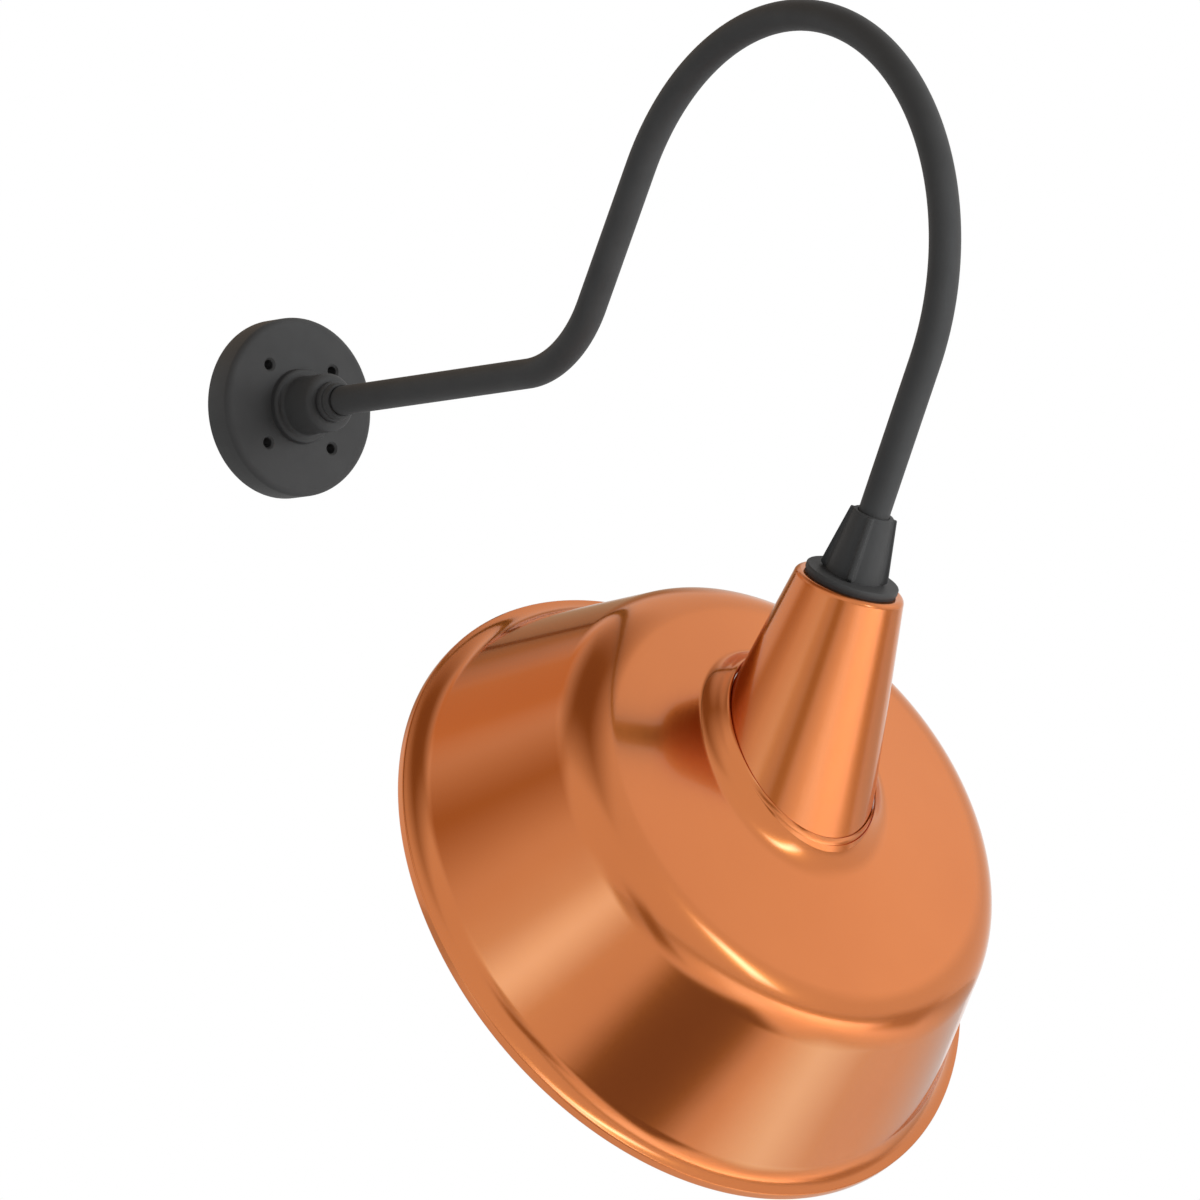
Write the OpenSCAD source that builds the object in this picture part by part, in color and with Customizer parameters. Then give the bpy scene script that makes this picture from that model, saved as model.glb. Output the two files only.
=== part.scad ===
/* [Wall plate] */
// Outer diameter of the round wall plate
plate_d = 132; // [126:1:150]
// Depth of the wall plate from the wall to its front face
plate_depth = 25; // [24:1:30]
// Rounding of the plate's front edge
plate_edge = 5; // [3:0.5:6]
// Thickness of the cast wall plate
cast_wall = 4; // [3:0.5:5]
// Pitch circle of the four mounting holes
hole_pcd = 81; // [78:1:84]
// Diameter of each mounting hole
hole_d = 7.5; // [6:0.5:8]
// Outer diameter of the raised ring round the hub
ring_d = 55; // [52:1:58]
// Diameter of the hub that holds the arm
hub_d = 43; // [40:1:46]
// Distance from the wall to the hub's mouth
hub_reach = 64; // [58:1:70]
// Diameter of the stepped collar at the hub's mouth
ferrule_d = 29.5; // [28:0.5:32]

/* [Arm] */
// Outside diameter of the arm's pipe
pipe_d = 21.3; // [20:0.1:22]
// Wall thickness of the arm's pipe
pipe_wall = 2.75; // [2:0.25:3.5]
// Distance from the wall to the first bend
run_out = 296; // [240:1:340]
// Bend radius at the foot of the rise
foot_bend_r = 82; // [60:1:100]
// Angle of the rise above the horizontal
rise_angle = 60; // [55:1:65]
// Straight length between the two bends
rise_run = 106; // [60:1:140]
// Bend radius of the gooseneck's crook
crook_r = 170; // [150:1:190]
// Angle that the crook turns through
crook_angle = 177.5; // [172:0.5:180]
// Straight length from the crook to the top of the copper neck
drop_run = 157.5; // [140:0.5:175]

/* [Hub on the shade] */
// Height of the shade hub above its flange
shade_hub_h = 44.5; // [40:0.5:50]
// Distance across the hub's ribs at their foot
rib_foot_d = 47; // [44:0.5:50]
// Distance across the hub's ribs at the top
rib_top_d = 32.2; // [31:0.2:35]
// Thickness of each rib
rib_t = 3.2; // [2.5:0.1:4]
// Diameter of the hub's flange
flange_d = 64; // [60:1:66]
// Thickness of the hub's flange
flange_t = 4; // [3:0.5:5]
// Thickness of the gasket under the flange
gasket_t = 1.5; // [1:0.5:2.5]

/* [Shade] */
// Diameter of the shade over its rolled rim
rim_d = 459; // [430:1:490]
// Height of the neck's seam above the rim
seam_h = 157; // [150:1:162]
// Height of the shoulder's top above the rim
shoulder_h = 136; // [130:1:140]
// Outside radius of the shade's shoulder
shoulder_r = 40; // [30:1:46]
// Lean of the shade's side wall from the shade's axis
wall_lean = 22; // [18:1:25]
// Slope of the shade's top
top_slope = 6; // [4:0.5:7]
// Radius of the outward flare above the rolled rim
flare_r = 9; // [6:0.5:12]
// Radius of the rolled rim
bead_r = 4; // [3:0.5:5]
// Thickness of the copper sheet
sheet_t = 1.2; // [1:0.1:1.6]
// Width of the collar that the shade's sheet forms round the neck
collar_w = 14; // [11:0.5:16]

/* [Neck] */
// Outside diameter of the copper neck at its top
neck_top_d = 75; // [72:0.5:79]
// Half angle of the neck's taper
neck_taper = 9.7; // [8:0.1:11]
// Rounding of the neck's top edge
neck_edge = 4; // [3:0.5:5]
// Length of the neck's axis from its top to the seam
neck_len = 110; // [104:1:118]
// Angle between the neck's axis and the shade's axis
shade_bend = 35.5; // [32:0.5:37]
// Offset of the neck from the shade's centre
shade_offset = 38; // [32:1:42]

/* [Lampholder] */
// Diameter of the porcelain lampholder
holder_d = 44; // [42:1:48]
// Distance from the neck's top to the lampholder's mouth
mouth_depth = 82; // [80:1:90]
// Diameter of the screw cap on the lamp
cap_d = 26.3; // [26:0.1:26.8]
// Diameter of the lamp's glass
bulb_d = 67; // [60:1:68]
// Length of the glass below the lampholder's mouth
bulb_len = 103.5; // [95:0.5:115]
// Diameter of the supply lead
lead_d = 6; // [5:0.5:7]
// Diameter of one insulated conductor
wire_d = 2.4; // [2:0.1:2.6]

/* [Fits] */
// Radial clearance where the arm turns and the lamp screws in
turn_gap = 0.07; // [0.03:0.01:0.1]
// Gap between neighbouring pieces that do not turn on each other
seat_gap = 0.3; // [0.15:0.05:0.4]

/* [Hidden] */
$fn = 96;

// A little extra length so that cutters pass right through
over = 1;
// Share by which each bend is fatter than the straights that run into it
bend_ease = 0.008;
bend_lap = 0.1;
// How far solids of one piece sink into each other so that they join
join = 0.5;
// Fit of a fixed screw or spigot in its own hole, radial
screw_gap = 0.05;

// Finishes as the photograph shows them
black_coat = [0.16, 0.16, 0.17];
copper = [0.78, 0.42, 0.22];
steel = [0.7, 0.7, 0.72];
brass = [0.8, 0.65, 0.35];

// Wall plate
plate_r = plate_d / 2;
hub_r = hub_d / 2;
ring_r = ring_d / 2;
ring_h = 7;
ring_edge = 3;
hub_edge = 5;
hub_root = 4;
front_t = cast_wall + 1;
cavity_r = plate_r - cast_wall * 2;
rebate_r = plate_r - cast_wall;
gasket_depth = 4;
boss_r = hole_d / 2 + 3.25;
hole_mouth = 0.6;
pipe_r = pipe_d / 2;
bore_r = pipe_r + turn_gap;
wire_way_r = pipe_r - pipe_wall;
arm_start = plate_depth - 1;
arm_seat = arm_start + seat_gap;

// Ferrule in the hub's mouth
ferrule_r = ferrule_d / 2;
ferrule_spigot_r = ferrule_r - 1.75;
ferrule_spigot_l = 10;
ferrule_flange_t = 5.5;
ferrule_nose_l = 6.5;
ferrule_nose_r = ferrule_r - 1.5;
ferrule_edge = 1;
mouth_gap = 0.6;
ferrule_recess = 1.5;

// Set screws that lock the arm
set_screw_r = 3;
hub_screw_x = hub_reach - ferrule_spigot_l - 10;
hex_key_r = 1.75;
hex_key_depth = 3;
hub_screw_inset = 1;

// Earth screw and leads in the plate's cavity
lead_r = lead_d / 2;
wire_r = wire_d / 2;
wire_bend = 9;
wire_x = 8.4;
wire_split_x = plate_depth - cast_wall - 0.5;
wire_out = 22;
nut_len = 20;
nut_r = 4.6;
nut_tip_r = 3;
nut_hole_l = 8;
nut_grip = 7;
earth_y = 36;
earth_boss_r = 5;
earth_screw_r = 1.9;
earth_head_r = 4;
earth_head_t = 2.6;
earth_ring_r = 4.5;
earth_ring_t = 1;
earth_ring_x = wire_x - earth_ring_t / 2;
earth_gap = 0.1;
earth_tongue_lap = 1;

// Arm: ends of its runs and centres of its bends, in the arm's own plane
foot_x = run_out + foot_bend_r * sin(rise_angle);
foot_z = foot_bend_r * (1 - cos(rise_angle));
top_x = foot_x + rise_run * cos(rise_angle);
top_z = foot_z + rise_run * sin(rise_angle);
crook_x = top_x + crook_r * sin(rise_angle);
crook_z = top_z - crook_r * cos(rise_angle);
neck_tilt = crook_angle - rise_angle - 90;
drop_x = crook_x + crook_r * cos(neck_tilt);
drop_z = crook_z - crook_r * sin(neck_tilt);
// Centre of the neck's top face
neck_x = drop_x - drop_run * sin(neck_tilt);
neck_z = drop_z - drop_run * cos(neck_tilt);

// Hub on the shade, measured up from the neck's top face
flange_r = flange_d / 2;
flange_edge = 1;
flange_top = gasket_t + flange_t;
shade_hub_top = flange_top + shade_hub_h;
arm_floor = flange_top + 6.5;
arm_end = arm_floor + seat_gap;
core_top_r = pipe_r + 3.25;
core_foot_r = rib_foot_d / 2 - 4.5;
rib_toe = 2.5;
spigot_r = 13;
spigot_l = 11;
locknut_t = 6;
locknut_r = 19;
shade_screw_r = 2.5;
shade_screw_z = flange_top + shade_hub_h * 0.55;
shade_screw_out = core_top_r + (core_foot_r - core_top_r) * 0.45 - 0.5;

// Neck: a cone whose radius grows with the depth below its top
neck_r = neck_top_d / 2;
neck_grow = tan(neck_taper);
neck_edge_r = neck_r - neck_edge * (1 - sin(neck_taper)) / cos(neck_taper);
neck_hole_r = spigot_r + 0.3;
neck_tuck = 8;
hem_l = 7;
hem_t = 1.4;
hem_out_r = neck_r + seat_gap + hem_t;
// Depth on the neck's axis where its long side has passed a plane below the seam
function past_seam(drop) = 2 * over
    + (neck_len * cos(shade_bend) + drop + hem_out_r * sin(shade_bend))
    / (cos(shade_bend) - neck_grow * sin(shade_bend));
sleeve_low = past_seam(hem_l);
neck_low = past_seam(neck_tuck);

// Shade, measured from the centre of its rim
rim_r = rim_d / 2;
bead_at_r = rim_r - bead_r;
flare_z = 2 * bead_r + flare_r;
wall_foot_r = bead_at_r - flare_r * cos(wall_lean);
wall_foot_z = flare_z - flare_r * sin(wall_lean);
shoulder_z = shoulder_h - shoulder_r;
shoulder_at_r = wall_foot_r - shoulder_r / cos(wall_lean)
    - (shoulder_z - wall_foot_z) * tan(wall_lean);
top_edge_r = shoulder_at_r + shoulder_r * sin(top_slope);
top_edge_z = shoulder_z + shoulder_r * cos(top_slope);

// Lampholder, measured up from its mouth
holder_r = holder_d / 2;
cap_r = cap_d / 2;
shell_r = cap_r + turn_gap;
shell_t = 0.6;
socket_depth = 35;
socket_r = shell_r + shell_t + seat_gap;
web_t = 10;
holder_back = socket_depth + web_t;
holder_back_r = holder_r - 3;
holder_step = 8;
shell_lip = 1.5;
shell_hole_r = 6.5;
rivet_r = 1.5;
disc_r = 5;
disc_t = 1;
strap_w = 5;
strap_t = 0.8;
tongue_t = 0.6;
tongue_sink = 0.4;
block_x = 9;
block_w = 6;
block_h = 7;
block_top = holder_back + block_h;
block_wire_l = 5;
post_screw_r = 1.5;
post_head_r = 2.5;
post_head_t = 1.8;
yoke_t = 1.5;
yoke_w = 14;
yoke_in = holder_r + seat_gap;
yoke_out = yoke_in + yoke_t;
yoke_screw_z = 22;
yoke_foot_z = 17;
yoke_screw_r = 2;
yoke_head_r = 3.6;
yoke_head_t = 2.4;
yoke_screw_in = socket_r + 3;
slot_w = 1;
slot_depth = 0.9;

// Leads in the head, measured up from the neck's top face
fan_z = -spigot_l - 1.5;
fan_off = wire_r + 0.55;
fan_r = 7;
fan_angle = 50;
fan_bend_in = fan_r * (1 - cos(fan_angle));
fan_bend_down = fan_r * sin(fan_angle);
fan_slant = (block_x - fan_off - 2 * fan_bend_in) / sin(fan_angle);
fan_drop = 2 * fan_bend_down + fan_slant * cos(fan_angle);

// Lamp, measured from the lampholder's mouth
cap_low = -1;
cap_high = 24;
cap_t = 1.2;
thread_depth = 0.55;
thread_pitch = 3.6;
thread_turns = 5;
thread_steps = 8;
insulator_r = 7;
insulator_h = 3.5;
tip_r = 3.5;
tip_h = 1.5;
tip_top = cap_high + insulator_h + tip_h;
bulb_r = bulb_d / 2;
glass_t = 0.8;
glass_neck_r = cap_r - cap_t - 0.2;
glass_top = 3;
glass_steps = 14;
bulb_swell = bulb_len - bulb_r;
stem_flare_r = glass_neck_r - glass_t - 0.2;
stem_r = 3.2;
stem_end = -42;
stem_button_r = 4;
filament_r = 14;
filament_z = -66;
filament_wire_r = 0.5;
support_r = 0.4;

// Collar: a ring of sections swept round the neck's slanted outline
collar_steps = 48;
collar_rows = 7;
collar_start = -1.5;
collar_hole_w = collar_w - 1.7;
collar_toe = 1;
collar_sink = 0.3;

// Profile of a disc or boss with a rounded front edge
module rounded_profile(r, h, edge) {
    square([r - edge, h]);
    square([r, h - edge]);
    translate([r - edge, h - edge]) circle(edge);
}

// Turn a piece drawn along Z so that it points out of the wall
module out_of_wall() {
    rotate([0, 90, 0]) children();
}

// A stretch of round bar bent in the plane of the arm
module bend(bend_r, from_angle, sweep, r) {
    rotate([90, 0, 0]) rotate([0, 0, from_angle])
        rotate_extrude(angle = sweep) translate([bend_r, 0]) circle(r * (1 + bend_ease));
}

// Round bar along the whole arm
module arm_bar(r, extra) {
    translate([arm_seat - extra, 0, 0]) out_of_wall()
        cylinder(r = r, h = run_out - arm_seat + extra + bend_lap);
    translate([run_out, 0, foot_bend_r]) bend(foot_bend_r, -90, rise_angle, r);
    translate([foot_x, 0, foot_z]) rotate([0, 90 - rise_angle, 0])
        translate([0, 0, -bend_lap]) cylinder(r = r, h = rise_run + 2 * bend_lap);
    translate([crook_x, 0, crook_z]) bend(crook_r, -neck_tilt, crook_angle, r);
    at_neck() translate([0, 0, arm_end - extra])
        cylinder(r = r, h = drop_run - arm_end + extra + bend_lap);
}

// Places on the shade: the neck's top, the lampholder's mouth, the shade's rim
module at_neck() {
    translate([neck_x, 0, neck_z]) rotate([0, neck_tilt, 0]) children();
}

module at_mouth() {
    at_neck() translate([0, 0, -mouth_depth]) children();
}

module at_rim() {
    at_neck() translate([0, 0, -neck_len]) rotate([0, shade_bend, 0])
        translate([shade_offset, 0, -seam_h]) children();
}

// The neck's frame, seen from the shade's rim
module neck_from_rim() {
    translate([-shade_offset, 0, seam_h]) rotate([0, -shade_bend, 0])
        translate([0, 0, neck_len]) children();
}

// Headless screw with a hexagon socket, its tip at the origin
module grub_screw(r, l) {
    difference() {
        cylinder(r = r, h = l);
        translate([0, 0, l - hex_key_depth])
            cylinder(r = min(hex_key_r, r * 0.6), h = hex_key_depth + over, $fn = 6);
    }
}

module wall_plate_profile() {
    rounded_profile(plate_r, plate_depth, plate_edge);
    rounded_profile(ring_r, plate_depth + ring_h, ring_edge);
    rounded_profile(hub_r, hub_reach, hub_edge);
    difference() {
        square([hub_r + hub_root, plate_depth + ring_h + hub_root]);
        translate([hub_r + hub_root, plate_depth + ring_h + hub_root]) circle(hub_root);
    }
}

module wall_plate() {
    color(black_coat) difference() {
        union() {
            difference() {
                out_of_wall() rotate_extrude() wall_plate_profile();
                translate([-over, 0, 0]) out_of_wall()
                    cylinder(r = cavity_r, h = plate_depth - front_t + over);
                translate([-over, 0, 0]) out_of_wall()
                    cylinder(r = rebate_r, h = gasket_depth + over);
            }
            for (a = [45:90:315]) rotate([a, 0, 0]) translate([0, 0, hole_pcd / 2])
                out_of_wall() cylinder(r = boss_r, h = plate_depth - front_t + over);
            translate([earth_ring_x + earth_ring_t + earth_gap, earth_y, 0]) out_of_wall()
                cylinder(r = earth_boss_r, h = plate_depth - front_t - earth_ring_x);
        }
        for (a = [45:90:315]) rotate([a, 0, 0]) translate([-over, 0, hole_pcd / 2])
            out_of_wall() mounting_hole();
        translate([0, earth_y, 0]) out_of_wall()
            cylinder(r = earth_screw_r + screw_gap, h = plate_depth - cast_wall / 2);
        out_of_wall() cylinder(r = wire_way_r, h = plate_depth);
        translate([arm_start, 0, 0]) out_of_wall()
            cylinder(r = bore_r, h = hub_reach);
        translate([hub_reach - ferrule_spigot_l - seat_gap, 0, 0]) out_of_wall()
            cylinder(r = ferrule_spigot_r + screw_gap, h = ferrule_spigot_l + 2 * seat_gap);
        translate([hub_screw_x, 0, 0]) rotate([-90, 0, 0])
            cylinder(r = set_screw_r + screw_gap, h = hub_r + over);
    }
}

// Cutter for one mounting hole, with its slightly opened mouth
module mounting_hole() {
    hole_l = plate_depth + 2 * over;
    cylinder(d = hole_d, h = hole_l);
    translate([0, 0, hole_l - over - hole_mouth])
        cylinder(r1 = hole_d / 2, r2 = hole_d / 2 + hole_mouth + over, h = hole_mouth + over);
}

module wall_gasket() {
    color("dimgray") out_of_wall() difference() {
        cylinder(r = rebate_r - seat_gap, h = gasket_depth);
        translate([0, 0, -over]) cylinder(r = cavity_r, h = gasket_depth + 2 * over);
    }
}

module ground_screw() {
    seat_x = earth_ring_x - earth_gap;
    top_x = seat_x - earth_head_t;
    color("green") translate([0, earth_y, 0]) difference() {
        union() {
            translate([top_x, 0, 0]) out_of_wall()
                cylinder(r = earth_head_r, h = earth_head_t);
            translate([seat_x, 0, 0]) out_of_wall()
                cylinder(r = earth_screw_r, h = plate_depth - cast_wall - seat_x);
        }
        translate([top_x - over, -slot_w / 2, -earth_head_r - over])
            cube([slot_depth + over, slot_w, 2 * (earth_head_r + over)]);
    }
}

module hub_set_screw() {
    screw_in = pipe_r + seat_gap;
    color("dimgray") translate([hub_screw_x, 0, 0]) rotate([-90, 0, 0])
        translate([0, 0, screw_in]) grub_screw(set_screw_r, hub_r - hub_screw_inset - screw_in);
}

module arm_ferrule() {
    color(black_coat) out_of_wall() rotate_extrude() difference() {
        union() {
            translate([0, hub_reach - ferrule_spigot_l])
                square([ferrule_spigot_r, ferrule_spigot_l + over]);
            translate([0, hub_reach])
                rounded_profile(ferrule_r, ferrule_flange_t, ferrule_edge);
            translate([0, hub_reach + ferrule_flange_t - over])
                rounded_profile(ferrule_nose_r, ferrule_nose_l + over, ferrule_edge);
        }
        translate([0, hub_reach - ferrule_spigot_l - over]) square([bore_r, hub_reach]);
        translate([0, hub_reach + ferrule_flange_t + ferrule_nose_l - ferrule_recess])
            square([bore_r + mouth_gap, hub_reach]);
    }
}

// One conductor in the plate's cavity: out along the arm's axis, then across the cavity
module cavity_wire(reach) {
    bend_x = wire_x + wire_bend;
    translate([bend_x - bend_lap, 0, fan_off]) out_of_wall()
        cylinder(r = wire_r, h = wire_split_x - bend_x + join + bend_lap);
    translate([bend_x, 0, fan_off + wire_bend]) bend(wire_bend, 180, 90, wire_r);
    translate([wire_x, 0, fan_off + wire_bend - bend_lap])
        cylinder(r = wire_r, h = reach - fan_off - wire_bend + bend_lap);
}

module wall_leads() {
    tongue_y = earth_y - earth_boss_r - earth_gap;
    color("black") union() {
        translate([wire_split_x, 0, 0]) out_of_wall()
            cylinder(r = lead_r, h = arm_start - wire_split_x);
        for (a = [0, 180]) rotate([a, 0, 0]) cavity_wire(wire_out + nut_grip);
        rotate([-90, 0, 0]) cavity_wire(tongue_y);
        difference() {
            union() {
                translate([earth_ring_x, earth_y, 0]) out_of_wall()
                    cylinder(r = earth_ring_r, h = earth_ring_t);
                translate([earth_ring_x, tongue_y - earth_tongue_lap, -wire_r])
                    cube([earth_ring_t, 3 * earth_tongue_lap, 2 * wire_r]);
            }
            translate([0, earth_y, 0]) out_of_wall()
                cylinder(r = earth_screw_r + screw_gap, h = plate_depth);
        }
    }
}

module wire_connectors() {
    color("tan") for (a = [0, 180]) rotate([a, 0, 0]) translate([wire_x, 0, wire_out])
        difference() {
            cylinder(r1 = nut_r, r2 = nut_tip_r, h = nut_len);
            translate([0, 0, -over])
                cylinder(r = wire_r + screw_gap, h = nut_hole_l + over);
        }
}

module gooseneck_arm() {
    color(black_coat) difference() {
        arm_bar(pipe_r, 0);
        arm_bar(wire_way_r, over);
    }
}

module arm_lead() {
    color("black") arm_bar(lead_r, 0);
}

module rib_profile() {
    polygon([
        [0, flange_top], [rib_foot_d / 2 - rib_toe, flange_top],
        [rib_foot_d / 2, flange_top + rib_toe], [rib_top_d / 2, shade_hub_top],
        [0, shade_hub_top]
    ]);
}

module shade_hub() {
    color(black_coat) at_neck() difference() {
        union() {
            translate([0, 0, gasket_t]) rotate_extrude()
                rounded_profile(flange_r, flange_t, flange_edge);
            translate([0, 0, flange_top - join])
                cylinder(r1 = core_foot_r, r2 = core_top_r, h = shade_hub_h + join);
            intersection() {
                rotate_extrude() rib_profile();
                union() for (a = [45, 135]) rotate([0, 0, a])
                    translate([-rib_foot_d, -rib_t / 2, 0])
                        cube([2 * rib_foot_d, rib_t, shade_hub_top + over]);
            }
            translate([0, 0, -spigot_l]) cylinder(r = spigot_r, h = spigot_l + gasket_t + join);
        }
        translate([0, 0, arm_floor]) cylinder(r = bore_r, h = shade_hub_h + over);
        translate([0, 0, shade_hub_top - mouth_gap])
            cylinder(r1 = bore_r, r2 = bore_r + mouth_gap + over, h = mouth_gap + over);
        translate([0, 0, -spigot_l - over])
            cylinder(r = wire_way_r, h = arm_floor + spigot_l + 2 * over);
        translate([0, 0, shade_screw_z]) rotate([-90, 0, 0])
            cylinder(r = shade_screw_r + screw_gap, h = core_foot_r + over);
    }
}

module hub_gasket() {
    color("black") at_neck() difference() {
        cylinder(r = flange_r - 0.5, h = gasket_t);
        translate([0, 0, -over]) cylinder(r = neck_hole_r, h = gasket_t + 2 * over);
    }
}

module shade_set_screw() {
    screw_in = pipe_r + seat_gap;
    color("dimgray") at_neck() translate([0, 0, shade_screw_z]) rotate([-90, 0, 0])
        translate([0, 0, screw_in]) grub_screw(shade_screw_r, shade_screw_out - screw_in);
}

module hub_locknut() {
    color(steel) at_neck() translate([0, 0, -sheet_t - yoke_t - locknut_t]) difference() {
        cylinder(r = locknut_r, h = locknut_t, $fn = 6);
        translate([0, 0, -over])
            cylinder(r = spigot_r + screw_gap, h = locknut_t + 2 * over);
    }
}

// Rounded top corner of the neck, as points from the top round to the side
function neck_corner(r) = [
    for (i = [0:8]) let (a = 90 - i * (90 - neck_taper) / 8)
        [neck_edge_r + r * cos(a), -neck_edge + r * sin(a)]
];

module neck_profile() {
    out = neck_corner(neck_edge);
    in = neck_corner(neck_edge - sheet_t);
    polygon(concat(
        [[neck_hole_r, 0]], out,
        [[neck_r + neck_low * neck_grow, -neck_low],
        [neck_r + neck_low * neck_grow - sheet_t / cos(neck_taper), -neck_low]],
        [for (i = [len(in) - 1:-1:0]) in[i]],
        [[neck_hole_r, -sheet_t]]
    ));
}

module shade_neck() {
    color(copper) at_neck() difference() {
        rotate_extrude() neck_profile();
        translate([0, 0, -neck_len]) rotate([0, shade_bend, 0])
            translate([-rim_d, -rim_d, -2 * rim_d - neck_tuck]) cube(2 * rim_d);
    }
}

// Height of the shade's sloping top at a distance from its centre
function top_at(r) = top_edge_z + (top_edge_r - r) * tan(top_slope);

// Points of an arc about a centre in the profile
function arc(c, r, a0, a1, n) = [
    for (i = [0:n]) let (a = a0 + (a1 - a0) * i / n) c + r * [cos(a), sin(a)]
];

module shade_profile() {
    shoulder = [shoulder_at_r, shoulder_z];
    flare = [bead_at_r, flare_z];
    steep = 90 - top_slope;
    polygon(concat(
        [[0, top_at(0)]],
        arc(shoulder, shoulder_r, steep, wall_lean, 12),
        arc(flare, flare_r, 180 + wall_lean, 270, 6),
        arc(flare, flare_r + sheet_t, 270, 180 + wall_lean, 6),
        arc(shoulder, shoulder_r - sheet_t, wall_lean, steep, 12),
        [[0, top_at(0) - sheet_t / cos(top_slope)]]
    ));
    translate([bead_at_r, bead_r]) circle(bead_r);
}

// Point where the neck's side meets the seam's plane, in the shade's frame
function seam_point(t) =
    let (
        depth = (neck_len * cos(shade_bend) + neck_r * cos(t) * sin(shade_bend))
            / (cos(shade_bend) - neck_grow * cos(t) * sin(shade_bend)),
        r = neck_r + depth * neck_grow
    )
    [r * cos(t) * cos(shade_bend) + (depth - neck_len) * sin(shade_bend) - shade_offset,
        r * sin(t)];

// The same outline moved outward in the seam's plane
function seam_offset(t, w) =
    let (along = seam_point(t + 1) - seam_point(t - 1), out = [along[1], -along[0]] / norm(along))
    seam_point(t) + w * out;

// One section of the collar: its upper side outward, then its lower side back
function collar_fall(w) = 0.5 + 0.5 * cos(180 * min(max(w, 0) / collar_w, 1));
function collar_section(t) =
    let (rows = [for (i = [0:collar_rows])
        collar_start + (collar_w + collar_toe - collar_start) * i / collar_rows])
    concat(
        [for (i = [0:collar_rows]) let (
            p = seam_offset(t, rows[i]), low = top_at(norm(p)),
            z = low + (seam_h - low) * collar_fall(rows[i])
        ) [p[0], p[1], i == collar_rows ? low - collar_sink : z]],
        [for (i = [collar_rows:-1:0]) let (
            p = seam_offset(t, rows[i]), low = top_at(norm(p)),
            z = low + (seam_h - low) * collar_fall(rows[i])
        ) [p[0], p[1], i == collar_rows ? low - sheet_t + collar_sink : z - sheet_t * 1.25]]
    );

// The drawn collar as one closed ring
module collar_ring() {
    per = 2 * (collar_rows + 1);
    pts = [for (k = [0:collar_steps - 1]) each collar_section(360 * k / collar_steps)];
    faces = [for (k = [0:collar_steps - 1], i = [0:per - 1])
        let (
            a = k * per + i, b = k * per + (i + 1) % per,
            n = (k + 1) % collar_steps,
            c = n * per + (i + 1) % per, d = n * per + i
        )
        each [[a, c, b], [a, d, c]]];
    polyhedron(points = pts, faces = faces);
}

// Cone round the neck, wider than it by a gap
module neck_sleeve(gap) {
    side = gap / cos(neck_taper);
    neck_from_rim() translate([0, 0, -sleeve_low])
        cylinder(
            r1 = neck_r + sleeve_low * neck_grow + side,
            r2 = neck_r + side + neck_len / 2 * neck_grow,
            h = sleeve_low - neck_len / 2
        );
}

module shade() {
    color(copper) at_rim() difference() {
        union() {
            difference() {
                rotate_extrude() shade_profile();
                translate([0, 0, shoulder_h / 2]) linear_extrude(seam_h)
                    polygon([for (k = [0:collar_steps - 1])
                        seam_offset(360 * k / collar_steps, collar_hole_w)]);
            }
            collar_ring();
            intersection() {
                neck_sleeve(seat_gap + hem_t);
                translate([-rim_r, -rim_r, seam_h - hem_l])
                    cube([rim_d, rim_d, hem_l - sheet_t / 2]);
            }
        }
        neck_sleeve(seat_gap);
    }
}

module socket_yoke() {
    leg_top = mouth_depth - sheet_t;
    color(steel) at_mouth() difference() {
        union() {
            translate([0, 0, leg_top - yoke_t]) cylinder(r = yoke_out, h = yoke_t);
            for (s = [-1, 1]) translate([s > 0 ? yoke_in : -yoke_out, -yoke_w / 2, yoke_foot_z])
                cube([yoke_t, yoke_w, leg_top - yoke_foot_z]);
        }
        translate([0, 0, leg_top - yoke_t - over])
            cylinder(r = spigot_r + screw_gap, h = yoke_t + 2 * over);
        translate([-yoke_out - over, 0, yoke_screw_z]) out_of_wall()
            cylinder(r = yoke_screw_r + screw_gap, h = 2 * (yoke_out + over));
    }
}

module yoke_screws() {
    color(steel) at_mouth() for (a = [0, 180]) rotate([0, 0, a])
        translate([0, 0, yoke_screw_z]) difference() {
            union() {
                translate([yoke_screw_in, 0, 0]) out_of_wall()
                    cylinder(r = yoke_screw_r, h = yoke_out - yoke_screw_in + join);
                translate([yoke_out, 0, 0]) out_of_wall()
                    cylinder(r = yoke_head_r, h = yoke_head_t);
            }
            translate([yoke_out + yoke_head_t - slot_depth, -slot_w / 2, -yoke_head_r - over])
                cube([slot_depth + over, slot_w, 2 * (yoke_head_r + over)]);
        }
}

module lampholder() {
    color("white") at_mouth() difference() {
        union() {
            translate([0, 0, holder_back - holder_step]) mirror([0, 0, 1]) rotate_extrude()
                rounded_profile(holder_r, holder_back - holder_step, 2);
            translate([0, 0, holder_back - holder_step - over])
                cylinder(r = holder_back_r, h = holder_step + over);
        }
        translate([0, 0, -over]) cylinder(r = socket_r, h = socket_depth + over);
        cylinder(r = rivet_r + screw_gap, h = holder_back + over);
        translate([block_x, 0, 0]) cylinder(r = rivet_r + screw_gap, h = holder_back + over);
        for (a = [0, 180]) rotate([0, 0, a]) translate([yoke_screw_in, 0, yoke_screw_z])
            out_of_wall() cylinder(r = yoke_screw_r + screw_gap, h = holder_r);
    }
}

module screw_shell() {
    color(brass) at_mouth() difference() {
        translate([0, 0, shell_lip])
            cylinder(r = shell_r + shell_t, h = socket_depth - shell_lip);
        cylinder(r = shell_r, h = socket_depth - shell_t);
        cylinder(r = shell_hole_r, h = socket_depth + over);
    }
}

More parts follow.
